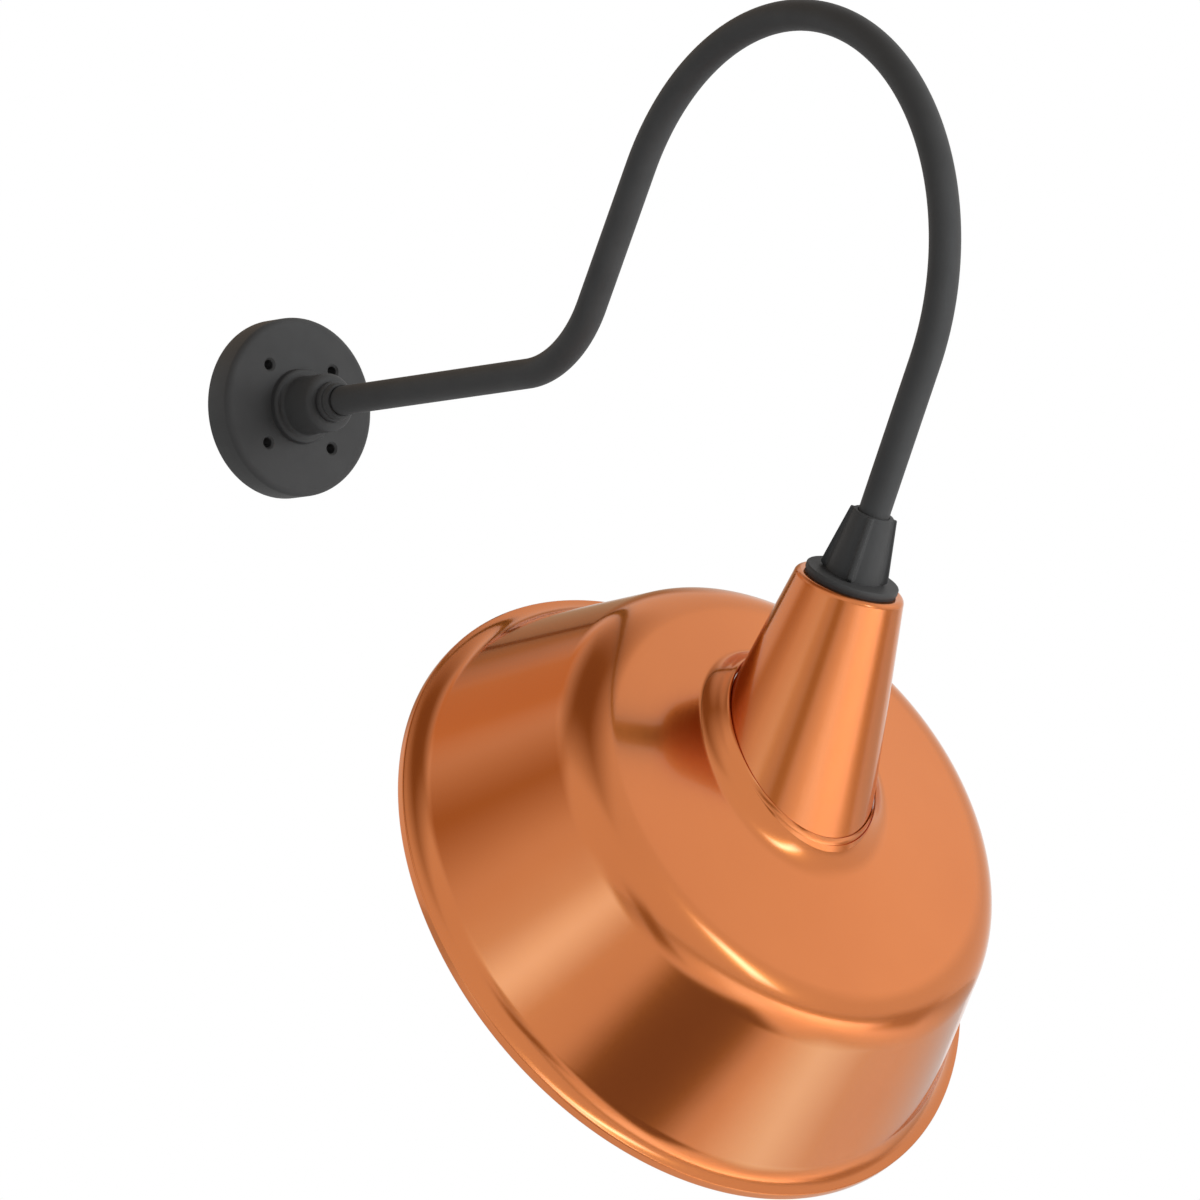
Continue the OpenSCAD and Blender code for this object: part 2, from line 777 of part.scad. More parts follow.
module centre_contact() {
    tongue_top = socket_depth - disc_t + tongue_sink;
    tongue_r = (tongue_top - tip_top - seat_gap) / 2;
    color(brass) at_mouth() union() {
        translate([0, 0, socket_depth - disc_t]) cylinder(r = disc_r, h = disc_t);
        translate([0, 0, socket_depth - disc_t])
            cylinder(r = rivet_r, h = disc_t + web_t + strap_t);
        translate([-block_x - block_w / 2, -strap_w / 2, holder_back])
            cube([block_x + block_w / 2 + strap_w / 2, strap_w, strap_t]);
        translate([0, 0, tongue_top - tongue_r]) rotate([90, 0, 0])
            difference() {
                translate([0, 0, -strap_w / 2]) cylinder(r = tongue_r, h = strap_w);
                translate([0, 0, -strap_w]) cylinder(r = tongue_r - tongue_t, h = 2 * strap_w);
            }
    }
}

module terminal_block(low) {
    difference() {
        translate([block_x - block_w / 2, -block_w / 2, low])
            cube([block_w, block_w, block_top - low]);
        translate([block_x, 0, block_top - block_wire_l])
            cylinder(r = wire_r + screw_gap, h = block_wire_l + over);
        translate([block_x, 0, block_top - block_h / 2]) out_of_wall()
            cylinder(r = post_screw_r + screw_gap, h = block_w);
    }
}

module terminals() {
    color(brass) at_mouth() {
        union() {
            terminal_block(holder_back);
            translate([block_x, 0, socket_depth])
                cylinder(r = rivet_r, h = web_t + join);
        }
        rotate([0, 0, 180]) terminal_block(holder_back + strap_t);
    }
}

module terminal_screws() {
    color(brass) at_mouth() for (a = [0, 180]) rotate([0, 0, a])
        translate([0, 0, block_top - block_h / 2]) difference() {
            union() {
                translate([block_x + wire_r + earth_gap, 0, 0]) out_of_wall()
                    cylinder(r = post_screw_r, h = block_w / 2 - wire_r);
                translate([block_x + block_w / 2, 0, 0]) out_of_wall()
                    cylinder(r = post_head_r, h = post_head_t);
            }
            translate([block_x + block_w / 2 + post_head_t - slot_depth, -slot_w / 2,
                -post_head_r - over])
                cube([slot_depth + over, slot_w, 2 * (post_head_r + over)]);
        }
}

// One conductor from the lead's end, out in an S to its terminal
module fan_wire() {
    low = -mouth_depth + block_top - block_wire_l + seat_gap;
    translate([fan_off, 0, fan_z - bend_lap]) cylinder(r = wire_r, h = 1 + bend_lap);
    translate([fan_off + fan_r, 0, fan_z]) bend(fan_r, 180, fan_angle, wire_r);
    translate([fan_off + fan_bend_in, 0, fan_z - fan_bend_down])
        rotate([0, 180 - fan_angle, 0]) translate([0, 0, -bend_lap])
            cylinder(r = wire_r, h = fan_slant + 2 * bend_lap);
    translate([block_x - fan_r, 0, fan_z - fan_drop]) bend(fan_r, 0, fan_angle, wire_r);
    translate([block_x, 0, low]) cylinder(r = wire_r, h = fan_z - fan_drop - low + bend_lap);
}

module socket_leads() {
    color("black") at_neck() union() {
        translate([0, 0, fan_z]) cylinder(r = lead_r, h = arm_floor - fan_z);
        for (a = [0, 180]) rotate([0, 0, a]) fan_wire();
    }
}

module bulb_cap() {
    n = thread_turns * thread_steps;
    start = cap_low + 4;
    color("silver") at_mouth() rotate_extrude() polygon(concat(
        [[cap_r - cap_t, cap_low], [cap_r, cap_low]],
        [for (i = [0:n]) let (turn = i / thread_steps)
            [cap_r - thread_depth * (0.5 - 0.5 * cos(360 * turn)), start + turn * thread_pitch]],
        [[cap_r - thread_depth, cap_high - 1.5], [insulator_r, cap_high],
        [insulator_r - 1, cap_high], [insulator_r - 1, cap_high - cap_t],
        [cap_r - cap_t, cap_high - 1.5 - cap_t]]
    ));
}

module bulb_insulator() {
    color("black") at_mouth() translate([0, 0, cap_high])
        cylinder(r1 = insulator_r, r2 = tip_r + 1, h = insulator_h);
}

module bulb_tip() {
    color(brass) at_mouth() translate([0, 0, cap_high + insulator_h])
        cylinder(r1 = tip_r, r2 = tip_r - 0.8, h = tip_h);
}

// Side of the glass: an S curve from its neck out to its widest place
function glass_side(t) = [
    for (i = [0:glass_steps]) let (u = i / glass_steps)
        [glass_neck_r + (bulb_r - glass_neck_r) * (0.5 - 0.5 * cos(180 * pow(u, 1.15))) - t,
            -u * bulb_swell]
];

module bulb_glass() {
    end = [0, -bulb_swell];
    out = glass_side(0);
    in = glass_side(glass_t);
    color("gainsboro", 0.5) at_mouth() rotate_extrude() polygon(concat(
        [[glass_neck_r, glass_top]], out,
        [for (p = arc(end, bulb_r, -6, -84, 13)) p], [[0, -bulb_len]],
        [[0, -bulb_len + glass_t]], [for (p = arc(end, bulb_r - glass_t, -84, -6, 13)) p],
        [for (i = [glass_steps:-1:0]) in[i]], [[glass_neck_r - glass_t, glass_top]]
    ));
}

module bulb_stem() {
    color("gainsboro", 0.6) at_mouth() rotate_extrude() polygon([
        [0, glass_top - 1], [stem_flare_r, glass_top - 1], [stem_flare_r, glass_top - 2],
        [stem_r + 1, glass_top - 9], [stem_r, stem_end + 10], [stem_r, stem_end + 4],
        [stem_button_r, stem_end + 3], [stem_button_r, stem_end + 1], [stem_r, stem_end],
        [0, stem_end]
    ]);
}

module bulb_filament() {
    rise = stem_end + 2 - filament_z;
    spread = filament_r - stem_r + 1;
    reach = norm([rise, spread]);
    color("dimgray") at_mouth() union() {
        translate([0, 0, filament_z]) rotate_extrude(angle = 180)
            translate([filament_r, 0]) circle(filament_wire_r);
        for (s = [-1, 1]) translate([s * filament_r, 0, filament_z])
            rotate([0, -s * atan2(spread, rise), 0]) cylinder(r = support_r, h = reach);
    }
}

wall_plate();
wall_gasket();
ground_screw();
hub_set_screw();
arm_ferrule();
wall_leads();
wire_connectors();
gooseneck_arm();
arm_lead();
shade_hub();
hub_gasket();
shade_set_screw();
hub_locknut();
shade_neck();
shade();
socket_yoke();
yoke_screws();
lampholder();
screw_shell();
centre_contact();
terminals();
terminal_screws();
socket_leads();
bulb_cap();
bulb_insulator();
bulb_tip();
bulb_glass();
bulb_stem();
bulb_filament();
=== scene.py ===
"""Barn light: a copper shade on a black gooseneck arm with a round wall plate, in metres."""

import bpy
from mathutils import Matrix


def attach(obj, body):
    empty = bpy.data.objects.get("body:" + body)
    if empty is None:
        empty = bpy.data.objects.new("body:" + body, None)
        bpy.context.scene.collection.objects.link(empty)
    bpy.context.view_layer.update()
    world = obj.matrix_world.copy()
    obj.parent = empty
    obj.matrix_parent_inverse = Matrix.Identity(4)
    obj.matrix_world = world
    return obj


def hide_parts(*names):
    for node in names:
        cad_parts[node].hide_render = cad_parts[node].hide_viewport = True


bl_info = {
    "name": "Barn Light",
    "version": (1, 0, 0),
    "blender": (4, 5, 0),
    "location": "3D View > Sidebar > Barn Light",
    "description": "Builds a copper gooseneck barn light round its packed CAD frame",
    "category": "Object",
}

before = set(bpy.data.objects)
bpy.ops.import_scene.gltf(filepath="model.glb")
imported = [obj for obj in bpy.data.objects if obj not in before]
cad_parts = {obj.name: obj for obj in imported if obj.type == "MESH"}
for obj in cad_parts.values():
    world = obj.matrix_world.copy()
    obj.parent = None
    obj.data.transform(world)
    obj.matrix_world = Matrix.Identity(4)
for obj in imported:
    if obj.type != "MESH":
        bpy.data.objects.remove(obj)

import math

import bmesh
import bpy
from bpy.props import FloatProperty, FloatVectorProperty
from mathutils import Matrix, Vector

MM = 0.001
# How far a cutter runs past the face that it opens
OVER = 1.0
# Keeps the finishes' names apart from those of the frame's own materials
FINISH_MARK = "finish_"
# The bore's gap round the pipe, and the lampholder's mouth below the neck's top
BORE_GAP = 0.07
MOUTH_DEPTH = 82


def length(name, text, millimetres):
    """A size in the sidebar, shown in the scene's own units."""
    return FloatProperty(
        name=name, description=text, default=millimetres * MM, min=0.0, unit="LENGTH",
        subtype="DISTANCE", precision=4)


def angle(name, text, degrees):
    return FloatProperty(
        name=name, description=text, default=math.radians(degrees), unit="ROTATION",
        subtype="ANGLE")


def finish_colour(name, text, rgb):
    return FloatVectorProperty(
        name=name, description=text, default=rgb, size=3, min=0.0, max=1.0, subtype="COLOR")


class BarnLightSizes(bpy.types.PropertyGroup):
    """Sizes of the dressed pieces: the CAD's, apart from the flare's sweep and the rim's edge."""

    plate_d: length("Plate diameter", "Outer diameter of the round wall plate", 132)
    plate_depth: length("Plate depth", "From the wall to the plate's front face", 25)
    plate_edge: length("Plate edge", "Rounding of the plate's front edge", 5)
    hole_pcd: length("Hole circle", "Pitch circle of the four mounting holes", 81)
    hole_d: length("Hole diameter", "Diameter of each mounting hole", 7.5)
    ring_d: length("Ring diameter", "Outer diameter of the raised ring round the hub", 55)
    ring_h: length("Ring height", "Height of the raised ring above the plate's face", 7)
    hub_d: length("Hub diameter", "Diameter of the hub that holds the arm", 43)
    hub_reach: length("Hub reach", "From the wall to the hub's mouth", 64)
    pipe_d: length("Pipe diameter", "Outside diameter of the arm's pipe", 21.3)
    pipe_wall: length("Pipe wall", "Wall thickness of the arm's pipe", 2.75)
    run_out: length("Run out", "From the wall to the arm's first bend", 296)
    foot_bend_r: length("Foot bend", "Bend radius at the foot of the rise", 82)
    rise_run: length("Rise", "Straight length between the two bends", 106)
    crook_r: length("Crook radius", "Bend radius of the gooseneck's crook", 170)
    drop_run: length("Drop", "From the crook to the top of the copper neck", 157.5)
    rise_angle: angle("Rise angle", "Angle of the rise above the horizontal", 60)
    crook_angle: angle("Crook angle", "Angle that the crook turns through", 177.5)
    flange_d: length("Flange diameter", "Diameter of the shade hub's flange", 64)
    shade_hub_h: length("Shade hub height", "Height of the shade hub above its flange", 44.5)
    rib_foot_d: length("Rib foot", "Across the hub's ribs at their foot", 47)
    rib_top_d: length("Rib top", "Across the hub's ribs at the top", 32.2)
    rib_t: length("Rib thickness", "Thickness of each rib of the shade hub", 3.2)
    neck_top_d: length("Neck diameter", "Outside diameter of the copper neck at its top", 75)
    neck_len: length("Neck length", "From the neck's top to its seam, on its axis", 110)
    neck_edge: length("Neck edge", "Rounding of the neck's top edge", 4)
    neck_taper: angle("Neck taper", "Half angle of the neck's taper", 9.7)
    shade_bend: angle("Shade bend", "Between the neck's axis and the shade's axis", 35.5)
    shade_offset: length("Shade offset", "Offset of the neck from the shade's centre", 38)
    rim_d: length("Shade diameter", "Diameter of the shade over its rolled rim", 459)
    seam_h: length("Seam height", "Height of the neck's seam above the rim", 157)
    shoulder_h: length("Shoulder height", "Height of the shoulder's top above the rim", 136)
    shoulder_r: length("Shoulder radius", "Outside radius of the shade's shoulder", 40)
    flare_r: length("Flare radius", "Radius of the outward flare above the rim", 9)
    bead_r: length("Rim radius", "Radius of the rolled rim", 4)
    sheet_t: length("Sheet", "Thickness of the copper sheet", 1.2)
    flare_wide: length("Flare sweep", "Radius that the flare is spun to above the rim", 20)
    rim_edge: length("Rim edge", "Rounding of the rim's upper edge", 1.2)
    collar_w: length("Collar width", "Width of the drawn collar round the neck", 13.5)
    wall_lean: angle("Wall lean", "Lean of the shade's side wall from its axis", 22)
    top_slope: angle("Top slope", "Slope of the shade's top", 6)
    bulb_d: length("Lamp diameter", "Diameter of the lamp's glass", 67)
    bulb_len: length("Lamp length", "Length of the glass below the lampholder", 103.5)


class BarnLightColours(bpy.types.PropertyGroup):
    """Colours of the finishes."""

    copper: finish_colour("Copper", "Lacquered copper sheet", (0.60, 0.17, 0.035))
    copper_deep: finish_colour("Deep copper", "Redder clouds in the copper", (0.57, 0.155, 0.03))
    black_coat: finish_colour("Black coat", "Matte black powder coat", (0.034, 0.034, 0.034))
    porcelain: finish_colour("Porcelain", "Glazed lampholder", (0.82, 0.81, 0.77))
    brass: finish_colour("Brass", "Socket shell and terminals", (0.72, 0.5, 0.2))
    steel: finish_colour("Steel", "Plated steel fittings", (0.6, 0.6, 0.62))
    floor: finish_colour("Floor", "Pale studio floor", (0.8, 0.8, 0.8))


def sizes():
    """Every size in millimetres, and every angle in degrees, by name."""
    group = bpy.context.scene.barn_light_sizes
    out = {}
    for name, prop in group.bl_rna.properties.items():
        if prop.type == "FLOAT":
            value = getattr(group, name)
            scale = math.degrees(1) if prop.subtype == "ANGLE" else 1 / MM
            out[name] = round(value * scale, 4)
    return out


def colour(name):
    return (*getattr(bpy.context.scene.barn_light_colours, name), 1.0)


def turned(degrees):
    """A turn about the horizontal axis that lies along the wall."""
    return Matrix.Rotation(math.radians(degrees), 4, "Y")


def shifted(x, z):
    return Matrix.Translation((x * MM, 0.0, z * MM))


def sideways(z):
    """Turns a cutter drawn along Z so that it runs out of the side at a height."""
    return shifted(0, z) @ Matrix.Rotation(math.radians(-90), 4, "X")


def out_of_wall():
    """Turns a piece drawn along Z so that it points out of the wall."""
    return turned(90)


def arm_points(s):
    """The crook's centre, the neck's top and the tilt of the drop, in the arm's own plane."""
    rise, crook = math.radians(s["rise_angle"]), s["crook_r"]
    tilt = math.radians(s["crook_angle"] - s["rise_angle"] - 90)
    foot = (s["run_out"] + s["foot_bend_r"] * math.sin(rise),
            s["foot_bend_r"] * (1 - math.cos(rise)))
    top = (foot[0] + s["rise_run"] * math.cos(rise), foot[1] + s["rise_run"] * math.sin(rise))
    centre = (top[0] + crook * math.sin(rise), top[1] - crook * math.cos(rise))
    drop = (centre[0] + crook * math.cos(tilt), centre[1] - crook * math.sin(tilt))
    neck = (drop[0] - s["drop_run"] * math.sin(tilt), drop[1] - s["drop_run"] * math.cos(tilt))
    return {"crook": centre, "neck": neck, "tilt": math.degrees(tilt)}


def at_neck(s):
    """Frame of the copper neck: its top face at zero, its axis along Z."""
    arm = arm_points(s)
    return shifted(*arm["neck"]) @ turned(arm["tilt"])


def at_mouth(s):
    """Frame of the lampholder's mouth."""
    return at_neck(s) @ shifted(0, -MOUTH_DEPTH)


def at_rim(s):
    """Frame of the shade: its rim's centre at zero, its axis along Z."""
    return (at_neck(s) @ shifted(0, -s["neck_len"]) @ turned(s["shade_bend"])
            @ shifted(s["shade_offset"], -s["seam_h"]))


def arc(centre, radius, start, end, steps):
    """Points of an arc in a section, angles in degrees."""
    out = []
    for i in range(steps + 1):
        a = math.radians(start + (end - start) * i / steps)
        out.append((centre[0] + radius * math.cos(a), centre[1] + radius * math.sin(a)))
    return out


def section(points, closed):
    """Start a mesh from a section drawn in the XZ plane, in millimetres."""
    bm = bmesh.new()
    verts = [bm.verts.new((x * MM, 0.0, z * MM)) for x, z in points]
    for a, b in zip(verts, verts[1:]):
        bm.edges.new((a, b))
    if closed:
        bm.edges.new((verts[-1], verts[0]))
    return bm


def weld(bm, distance=1e-6):
    bmesh.ops.remove_doubles(bm, verts=bm.verts[:], dist=distance)


def lathe(points, steps, closed=True):
    """Spin a section round Z."""
    bm = section(points, closed)
    bmesh.ops.spin(
        bm, geom=bm.verts[:] + bm.edges[:], cent=(0, 0, 0), axis=(0, 0, 1),
        angle=math.tau, steps=steps, use_merge=True)
    weld(bm)
    bmesh.ops.recalc_face_normals(bm, faces=bm.faces[:])
    return bm


def start_ring(bm, points):
    """A closed loop of vertices through points in millimetres, as {vertex: place in the loop}."""
    verts = [bm.verts.new(Vector(p) * MM) for p in points]
    for a, b in zip(verts, verts[1:] + verts[:1]):
        bm.edges.new((a, b))
    return {v: i for i, v in enumerate(verts)}


def loop_edges(ring):
    return list({e for v in ring for e in v.link_edges if all(w in ring for w in e.verts)})


def drawn_out(bm, edges):
    """Extrude a loop's edges. The new vertices come back."""
    geom = bmesh.ops.extrude_edge_only(bm, edges=edges)["geom"]
    return [v for v in geom if isinstance(v, bmesh.types.BMVert)]


def grow(bm, ring, place):
    """Extrude a closed loop of vertices and put each new one where place says, in millimetres."""
    out = {}
    for v in drawn_out(bm, loop_edges(ring)):
        old = next(w for e in v.link_edges for w in e.verts if w in ring)
        out[v] = ring[old]
    for v, key in out.items():
        v.co = Vector(place(key)) * MM
    return out


def open_edges(bm):
    return [e for e in bm.edges if len(e.link_faces) == 1]


def make_object(bm, name):
    mesh = bpy.data.meshes.new(name)
    bm.to_mesh(mesh)
    bm.free()
    obj = bpy.data.objects.new(name, mesh)
    bpy.context.scene.collection.objects.link(obj)
    return obj


def carve(bm, other, operation):
    """Join a second closed mesh to the first, or cut it away."""
    body, tool = make_object(bm, "carved"), make_object(other, "tool")
    change = body.modifiers.new("carve", "BOOLEAN")
    change.operation, change.object, change.solver = operation, tool, "EXACT"
    shape = bpy.context.evaluated_depsgraph_get()
    result = bmesh.new()
    result.from_mesh(body.evaluated_get(shape).to_mesh())
    bpy.data.objects.remove(body)
    bpy.data.objects.remove(tool)
    weld(result)
    return result


def dress(bm, name, body, material, nodes, matrix=None, crease=32):
    """Make the finished piece: normals, smooth shading with creases, material and body; the nodes
    it replaces are hidden.
    """
    if matrix is not None:
        bmesh.ops.transform(bm, matrix=matrix, verts=bm.verts[:])
    weld(bm)
    bmesh.ops.recalc_face_normals(bm, faces=bm.faces[:])
    limit = math.radians(crease)
    for f in bm.faces:
        f.smooth = True
    for e in bm.edges:
        e.smooth = len(e.link_faces) == 2 and e.calc_face_angle(0.0) < limit
    obj = make_object(bm, name)
    obj.data.materials.append(material)
    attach(obj, body)
    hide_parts(*nodes)
    return obj


class Finish:
    """A material with one Principled shader, and the nodes that feed it."""

    def __init__(self, name, **sockets):
        self.material = bpy.data.materials.new(FINISH_MARK + name)
        self.material.use_nodes = True
        self.tree = self.material.node_tree
        self.shader = next(n for n in self.tree.nodes if n.type == "BSDF_PRINCIPLED")
        self.output = next(n for n in self.tree.nodes if n.type == "OUTPUT_MATERIAL")
        self.coords = self.add("ShaderNodeTexCoord").outputs["Object"]
        for socket, value in sockets.items():
            self.shader.inputs[socket.replace("_", " ")].default_value = value

    def add(self, kind, **values):
        node = self.tree.nodes.new(kind)
        for name, value in values.items():
            setattr(node, name, value)
        return node

    def feed(self, source, target):
        self.tree.links.new(source, target)

    def mapped(self, matrix=None):
        """Object coordinates, seen from a piece's own frame where one is given."""
        node = self.add("ShaderNodeMapping")
        if matrix is not None:
            back = matrix.inverted()
            node.inputs["Rotation"].default_value = back.to_euler("XYZ")
            node.inputs["Location"].default_value = back.to_translation()
        self.feed(self.coords, node.inputs["Vector"])
        return node.outputs["Vector"]

    def turned_lines(self, matrix):
        """Coordinates that change with radius and height only, for marks of the lathe."""
        parts = self.add("ShaderNodeSeparateXYZ")
        self.feed(self.mapped(matrix), parts.inputs[0])
        flat = self.add("ShaderNodeCombineXYZ")
        self.feed(parts.outputs["X"], flat.inputs["X"])
        self.feed(parts.outputs["Y"], flat.inputs["Y"])
        radius = self.add("ShaderNodeVectorMath", operation="LENGTH")
        self.feed(flat.outputs[0], radius.inputs[0])
        rings = self.add("ShaderNodeCombineXYZ")
        self.feed(radius.outputs["Value"], rings.inputs["X"])
        self.feed(parts.outputs["Z"], rings.inputs["Y"])
        return rings.outputs[0]

    def noise(self, coords, scale, detail=2.0):
        node = self.add("ShaderNodeTexNoise")
        node.inputs["Scale"].default_value = scale
        node.inputs["Detail"].default_value = detail
        self.feed(coords, node.inputs["Vector"])
        return node.outputs["Fac"]

    def spread(self, source, low, high, start=0.3, end=0.7):
        """Turn a pattern into a number between low and high."""
        node = self.add("ShaderNodeMapRange")
        node.inputs["From Min"].default_value = start
        node.inputs["From Max"].default_value = end
        node.inputs["To Min"].default_value = low
        node.inputs["To Max"].default_value = high
        self.feed(source, node.inputs["Value"])
        return node.outputs["Result"]

    def blend(self, factor, first, second):
        node = self.add("ShaderNodeMix", data_type="RGBA")
        for socket in node.inputs:
            if socket.type == "RGBA" and socket.name == "A":
                socket.default_value = first
            if socket.type == "RGBA" and socket.name == "B":
                socket.default_value = second
        self.feed(factor, node.inputs["Factor"])
        return next(o for o in node.outputs if o.type == "RGBA")

    def relief(self, height, depth, strength):
        node = self.add("ShaderNodeBump")
        node.inputs["Strength"].default_value = strength
        node.inputs["Distance"].default_value = depth
        self.feed(height, node.inputs["Height"])
        self.feed(node.outputs["Normal"], self.shader.inputs["Normal"])

    def socket(self, name):
        return self.shader.inputs[name]


def shaded(base, factor):
    return (*(channel * factor for channel in base[:3]), 1.0)


def copper_finish(name, matrix, rough):
    """Satin copper sheet under clear lacquer, with faint marks of spinning."""
    f = Finish(name, Metallic=1.0, Specular_Tint=(0.9, 0.62, 0.42, 1), Coat_Weight=0.8,
               Coat_Roughness=0.08, Coat_IOR=1.5)
    clouds = f.noise(f.mapped(matrix), 9.0, 3.0)
    f.feed(f.blend(f.spread(clouds, 0.0, 1.0), colour("copper"), colour("copper_deep")),
           f.socket("Base Color"))
    rings = f.turned_lines(matrix)
    lines = f.noise(rings, 420.0, 3.0)
    f.feed(f.spread(lines, rough, rough + 0.012), f.socket("Roughness"))
    return f.material


def black_finish(name):
    """Matte powder coat with its fine orange peel."""
    f = Finish(name, Specular_IOR_Level=0.2)
    base = colour("black_coat")
    clouds = f.noise(f.mapped(), 35.0, 3.0)
    f.feed(f.blend(f.spread(clouds, 0.0, 1.0), shaded(base, 0.92), shaded(base, 1.08)),
           f.socket("Base Color"))
    grain = f.noise(f.mapped(), 1400.0, 2.0)
    f.feed(f.spread(grain, 0.5, 0.62), f.socket("Roughness"))
    f.relief(grain, 0.00005, 0.6)
    return f.material


def plain_finish(name, base, rough, scale, bump, contrast=0.1, **sockets):
    """A finish with soft clouds of tone, a roughness that varies, and a fine relief."""
    f = Finish(name, **sockets)
    clouds = f.noise(f.mapped(), scale * 0.1, 3.0)
    f.feed(f.blend(f.spread(clouds, 0.0, 1.0), shaded(base, 1 - contrast), shaded(base, 1.0)),
           f.socket("Base Color"))
    grain = f.noise(f.mapped(), scale, 3.0)
    f.feed(f.spread(grain, rough[0], rough[1]), f.socket("Roughness"))
    if bump:
        f.relief(grain, bump, 0.7)
    return f.material


def glass_finish(name, tint, rough):
    f = Finish(name, Transmission_Weight=1.0, IOR=1.47)
    wash = f.noise(f.mapped(), 40.0, 2.0)
    f.feed(f.blend(f.spread(wash, 0.0, 1.0), tint, shaded(tint, 0.97)), f.socket("Base Color"))
    f.feed(f.spread(wash, rough, rough + 0.02), f.socket("Roughness"))
    return f.material


def plain(*values, **sockets):
    """A maker of one plain finish, called with its name."""
    return lambda name: plain_finish(name, *values, **sockets)


class Rack(dict):
    """Finishes by name, each made once, when a piece first asks for it."""

    def __init__(self, makers):
        super().__init__()
        self.makers = makers

    def __missing__(self, name):
        made = bpy.data.materials.get(FINISH_MARK + name)
        self[name] = made or self.makers[name](name)
        return self[name]


def finishes():
    """Every finish. The plain ones give base, roughness, grain, relief, contrast and sockets."""
    s = sizes()
    return Rack({
        "black_coat": black_finish,
        "shade_copper": lambda name: copper_finish(name, at_rim(s), 0.19),
        "neck_copper": lambda name: copper_finish(name, at_neck(s), 0.26),
        "plate_seal": plain((0.03, 0.03, 0.032, 1), (0.85, 0.95), 1200, 0.0002),
        "flange_seal": plain((0.012, 0.012, 0.013, 1), (0.6, 0.75), 900, 0.00005),
        "earth_green": plain(
            (0.03, 0.26, 0.07, 1), (0.3, 0.42), 500, 0.00002, Metallic=0.5),
        "set_screw_steel": plain(
            (0.06, 0.06, 0.065, 1), (0.35, 0.5), 700, 0.00002, Metallic=0.7),
        "lead_jacket": plain((0.014, 0.014, 0.015, 1), (0.4, 0.52), 600, 0.00003),
        "connector_plastic": plain((0.62, 0.43, 0.24, 1), (0.38, 0.5), 500, 0.00002),
        "zinc_steel": plain(colour("steel"), (0.26, 0.4), 300, 0.00001, Metallic=1.0),
        "porcelain": plain(
            colour("porcelain"), (0.12, 0.2), 90, 0.00002, 0.04, Coat_Weight=0.4,
            Coat_Roughness=0.05),
        "contact_brass": plain(colour("brass"), (0.25, 0.38), 350, 0.00001, Metallic=1.0),
        "cap_aluminium": plain(
            (0.78, 0.78, 0.8, 1), (0.2, 0.32), 400, 0.00001, 0.06, Metallic=1.0),
        "insulator_black": plain((0.01, 0.01, 0.012, 1), (0.12, 0.2), 200, 0.0),
        "clear_glass": lambda name: glass_finish(name, (0.96, 0.97, 0.96, 1), 0.0),
        "support_wire": plain((0.42, 0.4, 0.38, 1), (0.35, 0.45), 600, 0.0, Metallic=1.0),
    })


def drill(steps, low, high, radius, matrix, mouth=0.0):
    """A cutter for a round hole, with a mouth that opens by a little at its top."""
    points = [(0, low), (radius, low), (radius, high - mouth)]
    if mouth:
        points.append((radius + mouth, high))
    points += [(points[-1][0], high + OVER), (0, high + OVER)]
    bm = lathe(points, steps, closed=False)
    bmesh.ops.transform(bm, matrix=matrix, verts=bm.verts[:])
    return bm


def gather(parts):
    """Several meshes as one."""
    out = bmesh.new()
    for bm in parts:
        mesh = bpy.data.meshes.new("part")
        bm.to_mesh(mesh)
        bm.free()
        out.from_mesh(mesh)
        bpy.data.meshes.remove(mesh)
    return out


